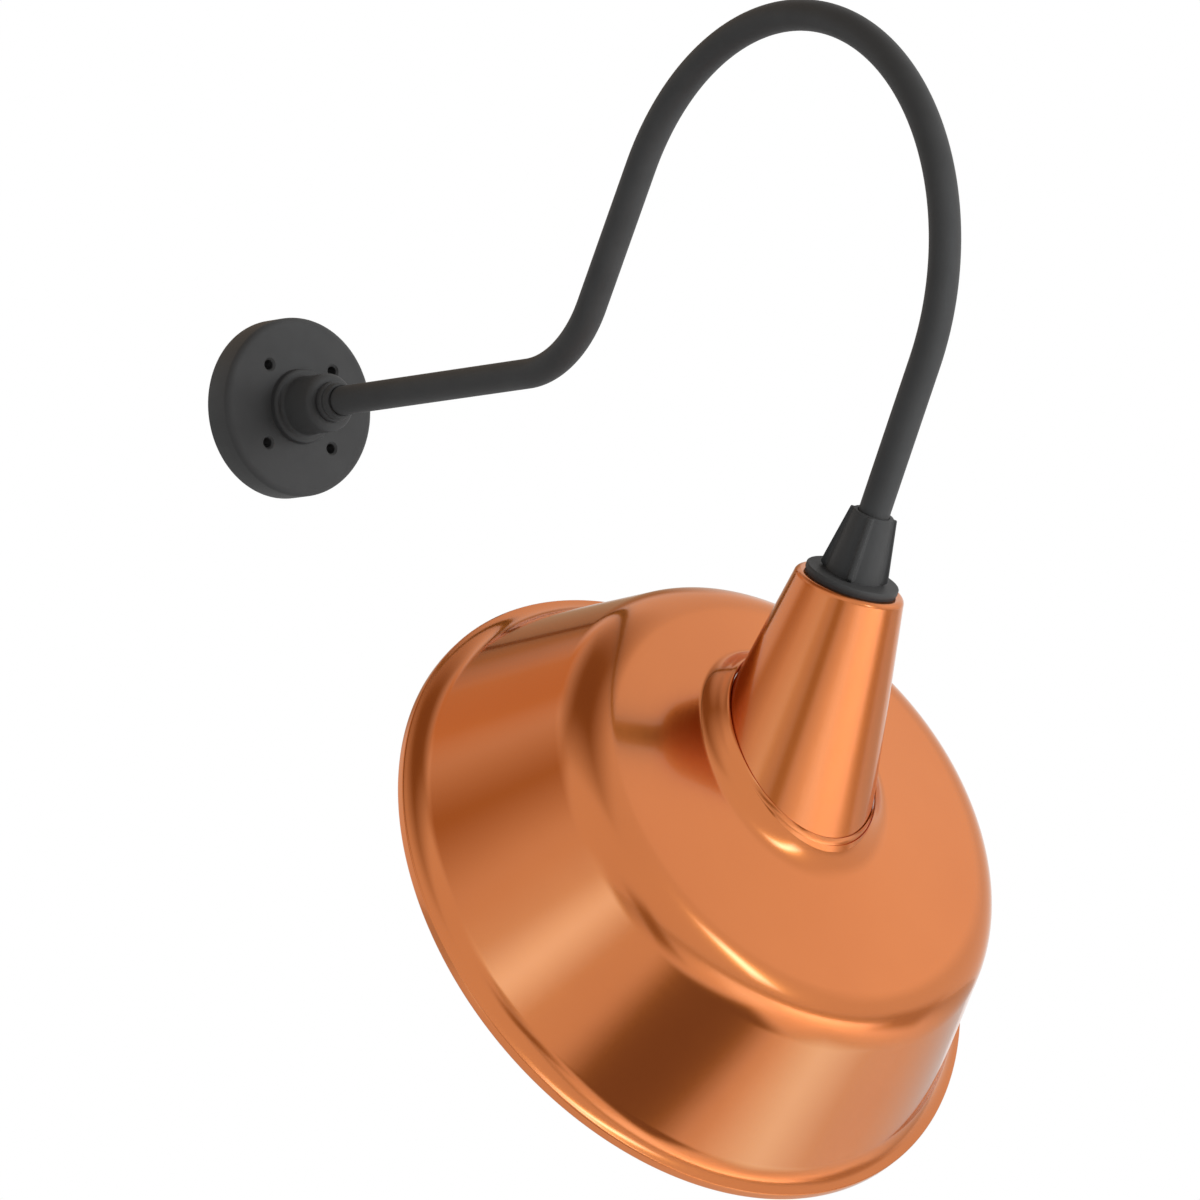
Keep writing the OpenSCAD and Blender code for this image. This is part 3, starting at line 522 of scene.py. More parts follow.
def wall_plate(s, rack):
    """Cast wall plate: cupped back, rounded edge, raised ring, hub and four bored holes."""
    plate_r, depth, edge = s["plate_d"] / 2, s["plate_depth"], s["plate_edge"]
    ring_r, hub_r, reach = s["ring_d"] / 2, s["hub_d"] / 2, s["hub_reach"]
    ring_top, ring_edge, hub_edge = depth + s["ring_h"], 3, 5
    side_t, lip_t, face_t, rebate = 8, 4, 5, 4
    cavity_r, rebate_r, floor_z = plate_r - side_t, plate_r - lip_t, depth - face_t
    bore_r, way_r = s["pipe_d"] / 2 + BORE_GAP, s["pipe_d"] / 2 - s["pipe_wall"]
    pocket_r, pocket_depth, pocket_soft, seat_z = 13.05, 10.3, 0.3, depth - 1
    lip, root, ring_root, soft = 0.4, 3, 0.9, 0.6
    points = [(way_r, floor_z), (cavity_r - lip, floor_z), (cavity_r, floor_z)]
    points += [(cavity_r, rebate), (rebate_r, rebate), (rebate_r, 0), (plate_r - soft, 0)]
    points += arc((plate_r - soft, soft), soft, -60, 0, 3)
    points += arc((plate_r - edge, depth - edge), edge, 0, 90, 14)
    points += [(plate_r - edge - lip, depth), (ring_r + ring_root + lip, depth)]
    points += arc((ring_r + ring_root, depth + ring_root), ring_root, 270, 180, 5)
    points += arc((ring_r - ring_edge, ring_top - ring_edge), ring_edge, 0, 90, 12)
    points += arc((hub_r + root, ring_top + root), root, 270, 180, 10)
    points += arc((hub_r - hub_edge, reach - hub_edge), hub_edge, 0, 90, 14)
    points += [(pocket_r + lip, reach)]
    points += arc((pocket_r + pocket_soft, reach - pocket_soft), pocket_soft, 90, 180, 2)
    points += [(pocket_r, reach - pocket_depth), (bore_r, reach - pocket_depth)]
    points += [(bore_r, seat_z), (way_r, seat_z)]
    bm = lathe(points, 144)
    turns = [Matrix.Rotation(math.radians(a), 4, "Z") for a in (45, 135, 225, 315)]
    off = Matrix.Translation((s["hole_pcd"] / 2 * MM, 0, 0))
    boss_r, mouth = s["hole_d"] / 2 + 3.25, 1.5
    earth_at, earth_boss_r, earth_boss_low, earth_screw_r, earth_cover = 36, 5, 9, 1.95, 3
    set_screw_r, set_screw_drop = 3.05, 20
    bosses = [drill(48, 0, floor_z, boss_r, t @ off) for t in turns]
    earth = Matrix.Translation((0, earth_at * MM, 0))
    bosses.append(drill(40, earth_boss_low, floor_z, earth_boss_r, earth))
    bm = carve(bm, gather(bosses), "UNION")
    holes = [drill(48, -OVER, depth, s["hole_d"] / 2, t @ off, mouth) for t in turns]
    holes.append(drill(32, -OVER, depth - earth_cover, earth_screw_r, earth))
    holes.append(drill(40, 0, hub_r, set_screw_r, sideways(reach - set_screw_drop)))
    bm = carve(bm, gather(holes), "DIFFERENCE")
    return dress(bm, "wall_plate_cast", "wall_mount", rack["black_coat"],
                 ["wall_plate"], out_of_wall(), 28)


def arm_ferrule(s, rack):
    """Stepped collar in the hub's mouth."""
    reach, bore_r = s["hub_reach"], s["pipe_d"] / 2 + BORE_GAP
    sleeve_r, sleeve_l, lip_r, soft = 13, 10, 11.32, 0.5
    flange_r, flange_z, flange_edge = 14.75, reach + 4.3, 1.2
    step_r, step_z, step_root, top_z, top_edge = 13.25, reach + 5.8, 0.3, reach + 11, 1
    points = [(bore_r, reach - sleeve_l), (sleeve_r, reach - sleeve_l), (sleeve_r, reach)]
    points += arc((flange_r - soft, reach + soft), soft, 270, 360, 4)
    points += arc((flange_r - flange_edge, flange_z), flange_edge, 0, 90, 8)
    points += arc((step_r + step_root, step_z), step_root, 270, 180, 3)
    points += arc((step_r - top_edge, top_z), top_edge, 0, 90, 8)
    points += [(lip_r, reach + 12), (lip_r, reach + 10.5), (bore_r, reach + 10.5)]
    return dress(lathe(points, 128), "arm_collar", "wall_mount",
                 rack["black_coat"], ["arm_ferrule"], out_of_wall(), 28)


def pipe_along(bm, s, radius):
    """One skin of the pipe, along the whole arm. Its first and last loops come back."""
    arm = arm_points(s)
    # The pipe starts this far from the wall and ends this far above the neck's top
    start, end, segments, foot_steps, crook_steps = 24.3, 12.3, 80, 28, 110
    ring = bmesh.ops.create_circle(
        bm, segments=segments, radius=radius * MM, matrix=shifted(start, 0) @ turned(90))
    first = loop_edges(set(ring["verts"]))

    def straight(edges, x, z):
        verts = drawn_out(bm, edges)
        bmesh.ops.translate(bm, vec=(x * MM, 0, z * MM), verts=verts)
        return loop_edges(set(verts))

    def bend(edges, centre, axis, degrees, steps):
        verts = list({v for e in edges for v in e.verts})
        out = bmesh.ops.spin(
            bm, geom=verts + edges, cent=(centre[0] * MM, 0, centre[1] * MM), axis=axis,
            angle=math.radians(degrees), steps=steps)["geom_last"]
        return [e for e in out if isinstance(e, bmesh.types.BMEdge)]

    rise, tilt = math.radians(s["rise_angle"]), math.radians(arm["tilt"])
    last = straight(first, s["run_out"] - start, 0)
    last = bend(last, (s["run_out"], s["foot_bend_r"]), (0, -1, 0), s["rise_angle"],
                foot_steps)
    last = straight(last, s["rise_run"] * math.cos(rise), s["rise_run"] * math.sin(rise))
    last = bend(last, arm["crook"], (0, 1, 0), s["crook_angle"], crook_steps)
    run = s["drop_run"] - end
    last = straight(last, -run * math.sin(tilt), -run * math.cos(tilt))
    return first, last


def gooseneck_arm(s, rack):
    """Bent pipe, with its bore."""
    bm = bmesh.new()
    outer, bore = s["pipe_d"] / 2, s["pipe_d"] / 2 - s["pipe_wall"]
    ends = pipe_along(bm, s, outer)
    pipe_along(bm, s, bore)
    # Each end face is the outer loop drawn in to the bore's loop, where the two weld.
    # Bridging the loops twists the face, because they share a plane and a centre.
    for edges in ends:
        verts = drawn_out(bm, edges)
        centre = sum((v.co for v in verts), Vector()) / len(verts)
        bmesh.ops.scale(bm, vec=(bore / outer,) * 3, space=Matrix.Translation(-centre),
                        verts=verts)
    return dress(bm, "gooseneck_pipe", "arm", rack["black_coat"],
                 ["gooseneck_arm"])


def rib_section(tip, core, thick):
    """Outline of the shade hub at one height: four ribs on a round core, hollow faces between."""
    half, nose, root = thick / 2, 0.7, 3.2
    root = min(root, max((tip - core) * 0.8, 0.4))
    # Centre of the hollow that runs the rib's flank into the core
    y = half + root
    x = math.sqrt(max((core + root) ** 2 - y * y, 0.0))
    turn = math.degrees(math.atan2(y, x))
    quarter = [(tip, 0)] + arc((tip - nose, half - nose), nose, 20, 90, 4)
    quarter += arc((x, y), root, 270, 180 + turn, 7)
    quarter += [(core * math.cos(math.radians(a)), core * math.sin(math.radians(a)))
                for a in [turn + (45 - turn) * k / 4 for k in range(1, 4)]]
    middle = [(core * math.cos(math.radians(45)), core * math.sin(math.radians(45)))]
    mirrored = [(b, a) for a, b in reversed(quarter[1:])]
    side = quarter + middle + mirrored
    out = []
    for k in range(4):
        a = math.radians(45 + 90 * k)
        c, n = math.cos(a), math.sin(a)
        out += [(p * c - q * n, p * n + q * c) for p, q in side]
    return out


def shade_hub(s, rack):
    """Cast hub: round flange, four corner ribs that taper upward, bore for the arm."""
    gasket, flange_t, edge = 1.5, 4.0, 1.0
    foot, high = gasket + flange_t, gasket + flange_t + s["shade_hub_h"]
    flange_r, toe, soft, rib_reach, hub_wall = s["flange_d"] / 2, 2.5, 0.6, 4.5, 3.25
    tip_foot, tip_top = s["rib_foot_d"] / 2, s["rib_top_d"] / 2
    core_foot, core_top = tip_foot - rib_reach, s["pipe_d"] / 2 + hub_wall
    bore_r, way_r = s["pipe_d"] / 2 + BORE_GAP, s["pipe_d"] / 2 - s["pipe_wall"]
    bore_end, spigot_l, spigot_r, screw_r, screw_share = 12, 11, 13, 2.55, 0.55

    def outline(z, shrink=0.0):
        share = (z - foot) / (high - foot)
        tip = tip_foot + (tip_top - tip_foot) * (z - foot - toe) / (high - foot - toe)
        if z < foot + toe:
            tip = tip_foot - toe + (z - foot)
        core = core_foot + (core_top - core_foot) * share
        return rib_section(tip - shrink, core - shrink, s["rib_t"] - shrink)

    base = outline(foot)
    directions = [Vector(p).normalized() for p in base]

    def circle(r, z):
        return [(d.x * r, d.y * r, z) for d in directions]

    def ribbed(z, shrink=0.0, lift=0.0):
        return [(x, y, z + lift) for x, y in outline(z, shrink)]

    rings = [ribbed(foot)]
    rings += [ribbed(foot + z) for z in (1.25, 2.2, 2.8, 4, 9, 17, 26, 35)]
    rings += [ribbed(high - 0.8), ribbed(high - 0.35, 0.05), ribbed(high - 0.08, 0.25),
              ribbed(high, 0.55)]
    rings += [circle(bore_r + soft, high), circle(bore_r, high - soft),
              circle(bore_r, bore_end), circle(way_r, bore_end), circle(way_r, -spigot_l),
              circle(spigot_r, -spigot_l), circle(spigot_r, gasket),
              circle(flange_r - 0.5, gasket), circle(flange_r - 0.15, gasket + 0.15),
              circle(flange_r, gasket + 0.5)]
    for r, z in arc((flange_r - edge, foot - edge), edge, 0, 90, 6):
        rings.append(circle(r, z))
    rings += [circle(flange_r - edge - 0.4, foot)]
    bm = bmesh.new()
    ring = start_ring(bm, rings[0])
    first = loop_edges(ring)
    for points in rings[1:]:
        ring = grow(bm, ring, lambda key, points=points: points[key])
    bmesh.ops.bridge_loops(bm, edges=first + loop_edges(ring))
    bmesh.ops.recalc_face_normals(bm, faces=bm.faces[:])
    side = sideways(gasket + flange_t + s["shade_hub_h"] * screw_share)
    bm = carve(bm, drill(36, 0, core_foot, screw_r, side), "DIFFERENCE")
    return dress(bm, "shade_hub_cast", "head", rack["black_coat"],
                 ["shade_hub"], at_neck(s), 30)


def neck_cone(s, rack):
    """Copper neck: rounded top edge, straight taper, cut at a slant below the seam."""
    r, edge, sheet = s["neck_top_d"] / 2, s["neck_edge"], s["sheet_t"]
    taper, hole_r, tuck = math.radians(s["neck_taper"]), 13.3, 8
    grow_by, low = math.tan(taper), s["neck_len"] + s["rim_d"] / 4
    corner = (r - edge * (1 - math.sin(taper)) / math.cos(taper), -edge)
    wall = sheet / math.cos(taper)
    points = [(hole_r, 0), (corner[0] - 0.4, 0)]
    points += arc(corner, edge, 90, s["neck_taper"], 12)
    points += [(r + (edge + 0.6) * grow_by, -edge - 0.6)]
    points += [(r + low * grow_by, -low), (r + low * grow_by - wall, -low)]
    points += arc(corner, edge - sheet, s["neck_taper"], 90, 8)
    points += [(hole_r, -sheet)]
    bm = lathe(points, 192)
    lean = math.radians(s["shade_bend"])
    normal = Vector((math.sin(lean), 0, math.cos(lean)))
    seam = Vector((0, 0, -s["neck_len"] * MM)) - normal * tuck * MM
    bmesh.ops.bisect_plane(
        bm, geom=bm.verts[:] + bm.edges[:] + bm.faces[:], plane_co=seam, plane_no=normal,
        clear_inner=True)
    bmesh.ops.bridge_loops(bm, edges=open_edges(bm))
    return dress(bm, "neck_cone", "head", rack["neck_copper"],
                 ["shade_neck"], at_neck(s))


class Seam:
    """The neck's outline where it meets the shade, in the shade's own frame."""

    # How much wider the collar is below the neck, and how its ridge and its fillet fall away
    FADE_W, RIDGE_BOW, FILLET_BOW = 14, 0.85, 2.4
    # The groove beside the seam: its depth, how much of that it loses, its place and width
    GROOVE_DEPTH, GROOVE_LOSS, GROOVE_AT, GROOVE_W = 0.45, 0.3, 4.6, 1.3

    def __init__(self, s):
        self.s = s
        self.lean = math.radians(s["shade_bend"])
        self.grow = math.tan(math.radians(s["neck_taper"]))
        lean = math.radians(s["wall_lean"])
        slope = math.radians(s["top_slope"])
        bead_at = s["rim_d"] / 2 - s["bead_r"]
        flare_z = 2 * s["bead_r"] + s["flare_r"]
        foot = (bead_at - s["flare_r"] * math.cos(lean), flare_z - s["flare_r"] * math.sin(lean))
        shoulder_z = s["shoulder_h"] - s["shoulder_r"]
        shoulder_at = (foot[0] - s["shoulder_r"] / math.cos(lean)
                       - (shoulder_z - foot[1]) * math.tan(lean))
        self.bead = (bead_at, s["bead_r"])
        self.foot = foot
        self.shoulder = (shoulder_at, shoulder_z)
        self.edge_r = shoulder_at + s["shoulder_r"] * math.sin(slope)
        self.edge_z = shoulder_z + s["shoulder_r"] * math.cos(slope)
        self.slope = math.tan(slope)

    def top_at(self, r):
        """Height of the shade's sloping top."""
        return self.edge_z + (self.edge_r - r) * self.slope

    def point(self, t, drop=0.0):
        s, c, n = self.s, math.cos(self.lean), math.sin(self.lean)
        k, r0 = math.cos(t), s["neck_top_d"] / 2
        depth = (s["neck_len"] * c + drop + r0 * k * n) / (c - self.grow * k * n)
        r = r0 + depth * self.grow
        return Vector((r * k * c + (depth - s["neck_len"]) * n - s["shade_offset"],
                       r * math.sin(t)))

    def beside(self, t, out, drop=0.0):
        """The outline moved outward in its plane."""
        step = math.radians(1)
        along = self.point(t + step, drop) - self.point(t - step, drop)
        return self.point(t, drop) + Vector((along.y, -along.x)).normalized() * out

    @staticmethod
    def front(t):
        """One at the neck's long side, nothing at its short side."""
        return 0.5 + 0.5 * math.cos(t)

    def width(self, t):
        """Width of the collar: widest where it fades out below the neck."""
        return self.s["collar_w"] + self.FADE_W * self.front(t) ** 2

    def collar(self, t, share, down=0.0):
        """A point of the collar, at a share of its width out from the neck."""
        p = self.beside(t, share * self.width(t))
        low = self.top_at(p.length)
        near, front = min(max(share, 0.0), 1.0), self.front(t)
        ridge = 0.5 + 0.5 * math.cos(math.pi * near ** self.RIDGE_BOW)
        fillet = (1 - near) ** self.FILLET_BOW
        fall = ridge + (fillet - ridge) * front
        off = (share * self.width(t) - self.GROOVE_AT) / self.GROOVE_W
        groove = (self.GROOVE_DEPTH - self.GROOVE_LOSS * front) * math.exp(-off ** 2)
        return (p.x, p.y, low + (self.s["seam_h"] - low) * fall - groove - down)


def shade_bowl(s, rack):
    """Spun copper shade: sloping top, round shoulder, leaning wall, flare and rolled rim."""
    seam = Seam(s)
    sheet, bead_r = s["sheet_t"], s["bead_r"]
    sweep, edge, foot_edge = s["flare_wide"], s["rim_edge"], 2.4
    lean, steep = s["wall_lean"], 90 - s["top_slope"]
    # The flare touches the wall's line and the rounding of the rim's upper edge.
    out = Vector((math.cos(math.radians(lean)), math.sin(math.radians(lean))))
    edge_at = Vector((s["rim_d"] / 2 - edge, 2 * bead_r - edge))
    away = Vector(seam.foot).dot(out) + sweep - edge_at.dot(out)
    turn = lean + math.degrees(math.acos(away / (sweep + edge)))
    flare = edge_at + Vector((math.cos(math.radians(turn)), math.sin(math.radians(turn)))) * (
        sweep + edge)
    # Inside, the sheet runs into the roll of the rim.
    apart = flare - Vector(seam.bead)
    roll = math.degrees(math.atan2(apart.y, apart.x) + math.acos(
        (bead_r ** 2 + apart.length ** 2 - (sweep + sheet) ** 2) / (2 * bead_r * apart.length)))
    met = Vector(arc(seam.bead, bead_r, roll, roll, 1)[0]) - flare
    points = arc(seam.shoulder, s["shoulder_r"], steep, lean, 26)
    points += arc(flare, sweep, 180 + lean, 180 + turn, 14)
    points += arc(edge_at, edge, turn, 0, 6)
    points += arc((s["rim_d"] / 2 - foot_edge, foot_edge), foot_edge, 0, -90, 8)
    points += arc(seam.bead, bead_r, -90, roll - 360, 24)
    points += arc(flare, sweep + sheet, 360 + math.degrees(math.atan2(met.y, met.x)),
                  180 + lean, 8)
    points += arc(seam.shoulder, s["shoulder_r"] - sheet, lean, steep, 20)
    bm = lathe(points, 256, closed=False)
    edge_high = (seam.edge_z - sheet / 2) * MM
    loops = {v for e in open_edges(bm) for v in e.verts}
    # The middle of the seam's outline, which the loops' points are told apart round
    seam_x = -29.4

    def keyed(verts):
        return {v: (math.atan2(v.co.y, v.co.x - seam_x * MM), v.co.copy() / MM) for v in verts}

    outer = keyed(v for v in loops if v.co.z > edge_high)
    inner = keyed(v for v in loops if v.co.z <= edge_high)
    rows, collar_rows, toe = 8, 18, 1.06

    def towards(key, share, under):
        t, start = key
        end = seam.beside(t, toe * seam.width(t))
        p = start.xy.lerp(end, share)
        return (p.x, p.y, seam.top_at(p.length) - under)

    for k in range(1, rows + 1):
        outer = grow(bm, outer, lambda key, k=k: towards(key, k / rows, 0.0))
    gap, lip, hem, hem_l, hem_out, hem_in = 0.3, 0.9, 1.4, 7.0, 3, 3.2
    near = (gap + lip) / s["collar_w"]
    for k in range(1, collar_rows + 1):
        share = toe - (toe - near) * k / collar_rows
        outer = grow(bm, outer, lambda key, share=share: seam.collar(key[0], share))
    turned_in = [(gap + lip * (1 - math.sin(math.radians(a))),
                  lip * (1 - math.cos(math.radians(a)))) for a in (0, 22.5, 45, 67.5, 90)]
    turned_in += [(gap, hem_out), (gap, hem_l), (gap + hem, hem_l), (gap + hem, hem_in)]
    for out, drop in turned_in:
        outer = grow(bm, outer, lambda key, out=out, drop=drop: (
            *seam.beside(key[0], out, drop), s["seam_h"] - drop))
    under = sheet * 1.25
    for share in (0.17, 0.3, 0.45, 0.6, 0.75, 0.9, toe):
        outer = grow(bm, outer, lambda key, share=share: seam.collar(key[0], share, under))
    flat = sheet / math.cos(math.radians(s["top_slope"]))
    for k in range(rows - 1, 0, -1):
        outer = grow(bm, outer, lambda key, k=k: towards(key, k / rows, flat))
    bmesh.ops.bridge_loops(bm, edges=loop_edges(outer) + loop_edges(inner))
    return dress(bm, "shade_bowl", "head", rack["shade_copper"],
                 ["shade"], at_rim(s), 40)


def lamp_glass(s, rack):
    """Hollow pear-shaped glass."""
    r, neck_r, neck_top, wall, steps, bow = s["bulb_d"] / 2, 11.75, 3, 0.8, 40, 1.15
    swell = s["bulb_len"] - r

    def side(inset):
        return [(neck_r + (r - neck_r) * (0.5 - 0.5 * math.cos(math.pi * (k / steps) ** bow))
                 - inset, -swell * k / steps) for k in range(steps + 1)]

    points = [(neck_r, neck_top)] + side(0) + arc((0, -swell), r, -3, -87, 28)
    points += [(0, -s["bulb_len"]), (0, wall - s["bulb_len"])]
    points += arc((0, -swell), r - wall, -87, -3, 28) + side(wall)[::-1]
    points += [(neck_r - wall, neck_top)]
    return dress(lathe(points, 96), "lamp_glass", "bulb", rack["clear_glass"],
                 ["bulb_glass"], at_mouth(s), 60)


def lamp_cap(s, rack):
    """Screw cap with its rolled thread."""
    r, wall, depth, pitch, turns = 13.15, 1.2, 0.55, 3.6, 5
    low, high, start = -1.0, 24.0, 3.0
    steps, edge, crimp, seat_r, hole_r = 14 * turns, 0.25, 1.5, 7, 6
    points = [(r - wall, low), (r - edge, low), (r, low + edge)]
    points += [(r, start + pitch * turns * k / steps) for k in range(steps + 1)]
    points += [(r - depth, high - crimp), (seat_r, high), (hole_r, high), (hole_r, high - wall),
               (r - wall, high - crimp - wall)]
    bm = lathe(points, 72)
    for v in bm.verts:
        radius, z = v.co.xy.length / MM, v.co.z / MM
        if radius > r - 0.1 and z > start - 0.01:
            turn = (z - start) / pitch - math.atan2(v.co.y, v.co.x) / math.tau
            fade = min((z - start) / pitch, 1.0)
            drop = depth * (0.5 - 0.5 * math.cos(math.tau * turn)) * fade
            v.co.xy *= (radius - drop) / radius
    return dress(bm, "lamp_cap", "bulb", rack["cap_aluminium"],
                 ["bulb_cap"], at_mouth(s), 50)


def lamp_filament(s, rack):
    """Two support wires and the coiled filament that hangs between them."""
    low, hang_r, stem_r, stem_end = -66.0, 14.0, 3.2, -42.0
    wire_r, coil_r, coil_wire_r, turns, fine = 0.3, 0.34, 0.12, 60, 8
    wire = bpy.data.curves.new("lamp_filament", "CURVE")
    wire.dimensions, wire.bevel_depth, wire.bevel_resolution = "3D", wire_r * MM, 2
    coil = bpy.data.curves.new("lamp_coil", "CURVE")
    coil.dimensions, coil.bevel_depth, coil.bevel_resolution = "3D", coil_wire_r * MM, 1
    wire.use_fill_caps = coil.use_fill_caps = True

    def line(curve, points):
        spline = curve.splines.new("POLY")
        spline.points.add(len(points) - 1)
        for p, co in zip(spline.points, points):
            p.co = (*(Vector(co) * MM), 1.0)

    for side in (-1, 1):
        line(wire, [(side * (stem_r - 1), 0, stem_end + 2), (side * (stem_r + 1), 0, stem_end - 3),
                    (side * (hang_r - 0.4), 0, low + 1.5), (side * hang_r, 0, low)])
    points = []
    for k in range(turns * fine + 1):
        along = math.pi * k / (turns * fine)
        turn = math.tau * k / fine
        reach = hang_r + coil_r * math.cos(turn)
        points.append((reach * math.cos(along), reach * math.sin(along),
                       low + coil_r * math.sin(turn)))
    line(coil, points)
    bm = bmesh.new()
    for curve in (wire, coil):
        holder = bpy.data.objects.new(curve.name, curve)
        bpy.context.scene.collection.objects.link(holder)
        mesh = bpy.data.meshes.new_from_object(
            holder.evaluated_get(bpy.context.evaluated_depsgraph_get()))
        bm.from_mesh(mesh)
        bpy.data.objects.remove(holder)
    return dress(bm, "lamp_filament", "bulb", rack["support_wire"],
                 ["bulb_filament"], at_mouth(s), 60)


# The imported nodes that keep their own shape, and the finish of each
KEPT_NODES = {
    "wall_gasket": "plate_seal", "ground_screw": "earth_green",
    "hub_set_screw": "set_screw_steel", "wall_leads": "lead_jacket",
    "wire_connectors": "connector_plastic", "arm_lead": "lead_jacket",
    "hub_gasket": "flange_seal", "shade_set_screw": "set_screw_steel",
    "hub_locknut": "zinc_steel", "socket_yoke": "zinc_steel", "yoke_screws": "zinc_steel",
    "lampholder": "porcelain", "screw_shell": "contact_brass",
    "centre_contact": "contact_brass", "terminals": "contact_brass",
    "terminal_screws": "contact_brass", "socket_leads": "lead_jacket",
    "bulb_insulator": "insulator_black", "bulb_tip": "contact_brass",
    "bulb_stem": "clear_glass",
}


def dress_nodes(rack):
    """Give each kept CAD node its finish."""
    for name, slot in KEPT_NODES.items():
        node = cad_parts[name]
        node.data.materials.clear()
        node.data.materials.append(rack[slot])


def floor_material(base):
    """Pale floor. The camera, metal and glass see its light background, shadow and all."""
    f = Finish("studio_floor", Roughness=0.9)
    tone = f.noise(f.mapped(), 0.6, 2.0)
    f.feed(f.blend(f.spread(tone, 0.0, 1.0), base, shaded(base, 0.985)), f.socket("Base Color"))
    path = f.add("ShaderNodeLightPath")
    seen = f.add("ShaderNodeMath", operation="MAXIMUM")
    f.feed(path.outputs["Is Camera Ray"], seen.inputs[0])
    f.feed(path.outputs["Is Glossy Ray"], seen.inputs[1])
    glow = f.add("ShaderNodeMath", operation="MULTIPLY")
    glow.inputs[1].default_value = FLOOR_GLOW
    f.feed(seen.outputs[0], glow.inputs[0])
    f.shader.inputs["Emission Color"].default_value = (1, 1, 1, 1)
    f.feed(glow.outputs[0], f.socket("Emission Strength"))
    return f.material


def pale_world():
    """White for the camera, metal and glass, and a plain level of light for the rest."""
    world = bpy.data.worlds.new("studio")
    bpy.context.scene.world = world
    world.use_nodes = True
    tree = world.node_tree
    back = next(n for n in tree.nodes if n.type == "BACKGROUND")
    path = tree.nodes.new("ShaderNodeLightPath")
    first, both = (tree.nodes.new("ShaderNodeMath") for _ in range(2))
    first.operation = both.operation = "MAXIMUM"
    level = tree.nodes.new("ShaderNodeMapRange")
    level.inputs["To Min"].default_value = ROOM_LIGHT
    level.inputs["To Max"].default_value = 1.0
    tree.links.new(path.outputs["Is Camera Ray"], first.inputs[0])
    tree.links.new(path.outputs["Is Glossy Ray"], first.inputs[1])
    tree.links.new(first.outputs[0], both.inputs[0])
    tree.links.new(path.outputs["Is Transmission Ray"], both.inputs[1])
    tree.links.new(both.outputs[0], level.inputs["Value"])
    tree.links.new(level.outputs["Result"], back.inputs["Strength"])
    back.inputs["Color"].default_value = (1, 1, 1, 1)


def direction(azimuth, elevation):
    a, e = math.radians(azimuth), math.radians(elevation)
    return Vector((math.sin(a) * math.cos(e), -math.cos(a) * math.cos(e), math.sin(e)))


# In metres and degrees: the point that the lights face, the floor, and the photograph's camera
SUBJECT = Vector((0.50, 0.0, -0.28))
FLOOR_Z, FLOOR_HALF, FLOOR_GLOW, ROOM_LIGHT = -2.0, 20, 0.35, 0.38
CAMERA_AZIMUTH, CAMERA_ELEVATION, CAMERA_ROLL = 51.45711, -5.15565, 0.62719
CAMERA_DISTANCE, CAMERA_ACROSS, CAMERA_RISE = 5.0, -0.23518908, 0.14036794
SENSOR_MM, LENS_MM = 36.0, 203.556
# How much green and blue a card loses as it gets warmer
WARM_GREEN, WARM_BLUE = 0.35, 0.65


def facing(azimuth, elevation, distance):
    """A place out from the subject, turned to face it."""
    way = direction(azimuth, elevation)
    turn = (-way).to_track_quat("-Z", "Y").to_matrix().to_4x4()
    return Matrix.Translation(SUBJECT + way * distance) @ turn


def softbox(name, azimuth, elevation, distance, width, height, power):
    """A soft lamp that gloss doesn't see."""
    light = bpy.data.lights.new(name, "AREA")
    light.shape, light.size, light.size_y, light.energy = "RECTANGLE", width, height, power
    obj = bpy.data.objects.new(name, light)
    obj.matrix_world = facing(azimuth, elevation, distance)
    obj.visible_glossy = False
    bpy.context.scene.collection.objects.link(obj)


def glow_card(name, azimuth, elevation, distance, width, height, level, soft, warm=0.0):
    """A soft-edged card that only gloss sees, brighter or darker than the white room."""
    bm = bmesh.new()
    bmesh.ops.create_grid(bm, x_segments=1, y_segments=1, size=0.5)
    bmesh.ops.scale(bm, vec=(width, height, 1), verts=bm.verts[:])
    obj = make_object(bm, name)
    obj.matrix_world = facing(azimuth, elevation, distance)
    f = Finish(name)
    parts = f.add("ShaderNodeSeparateXYZ")
    f.feed(f.coords, parts.inputs[0])
    share = []
    for axis, size in (("X", width), ("Y", height)):
        away = f.add("ShaderNodeMath", operation="ABSOLUTE")
        f.feed(parts.outputs[axis], away.inputs[0])
        share.append(f.spread(away.outputs[0], 0.0, 1.0, size / 2 * (1 - soft), size / 2))
    both = f.add("ShaderNodeMath", operation="MAXIMUM")
    f.feed(share[0], both.inputs[0])
    f.feed(share[1], both.inputs[1])
    glow = f.add("ShaderNodeEmission")
    clear = f.add("ShaderNodeBsdfTransparent")
    glow.inputs["Color"].default_value = (
        level, level * (1 - WARM_GREEN * warm), level * (1 - WARM_BLUE * warm), 1)
    mix = f.add("ShaderNodeMixShader")
    f.feed(both.outputs[0], mix.inputs[0])
    f.feed(glow.outputs[0], mix.inputs[1])
    f.feed(clear.outputs[0], mix.inputs[2])
    f.feed(mix.outputs[0], f.output.inputs["Surface"])
    obj.data.materials.append(f.material)
    obj.visible_camera = obj.visible_diffuse = obj.visible_shadow = False
    obj.visible_transmission = False


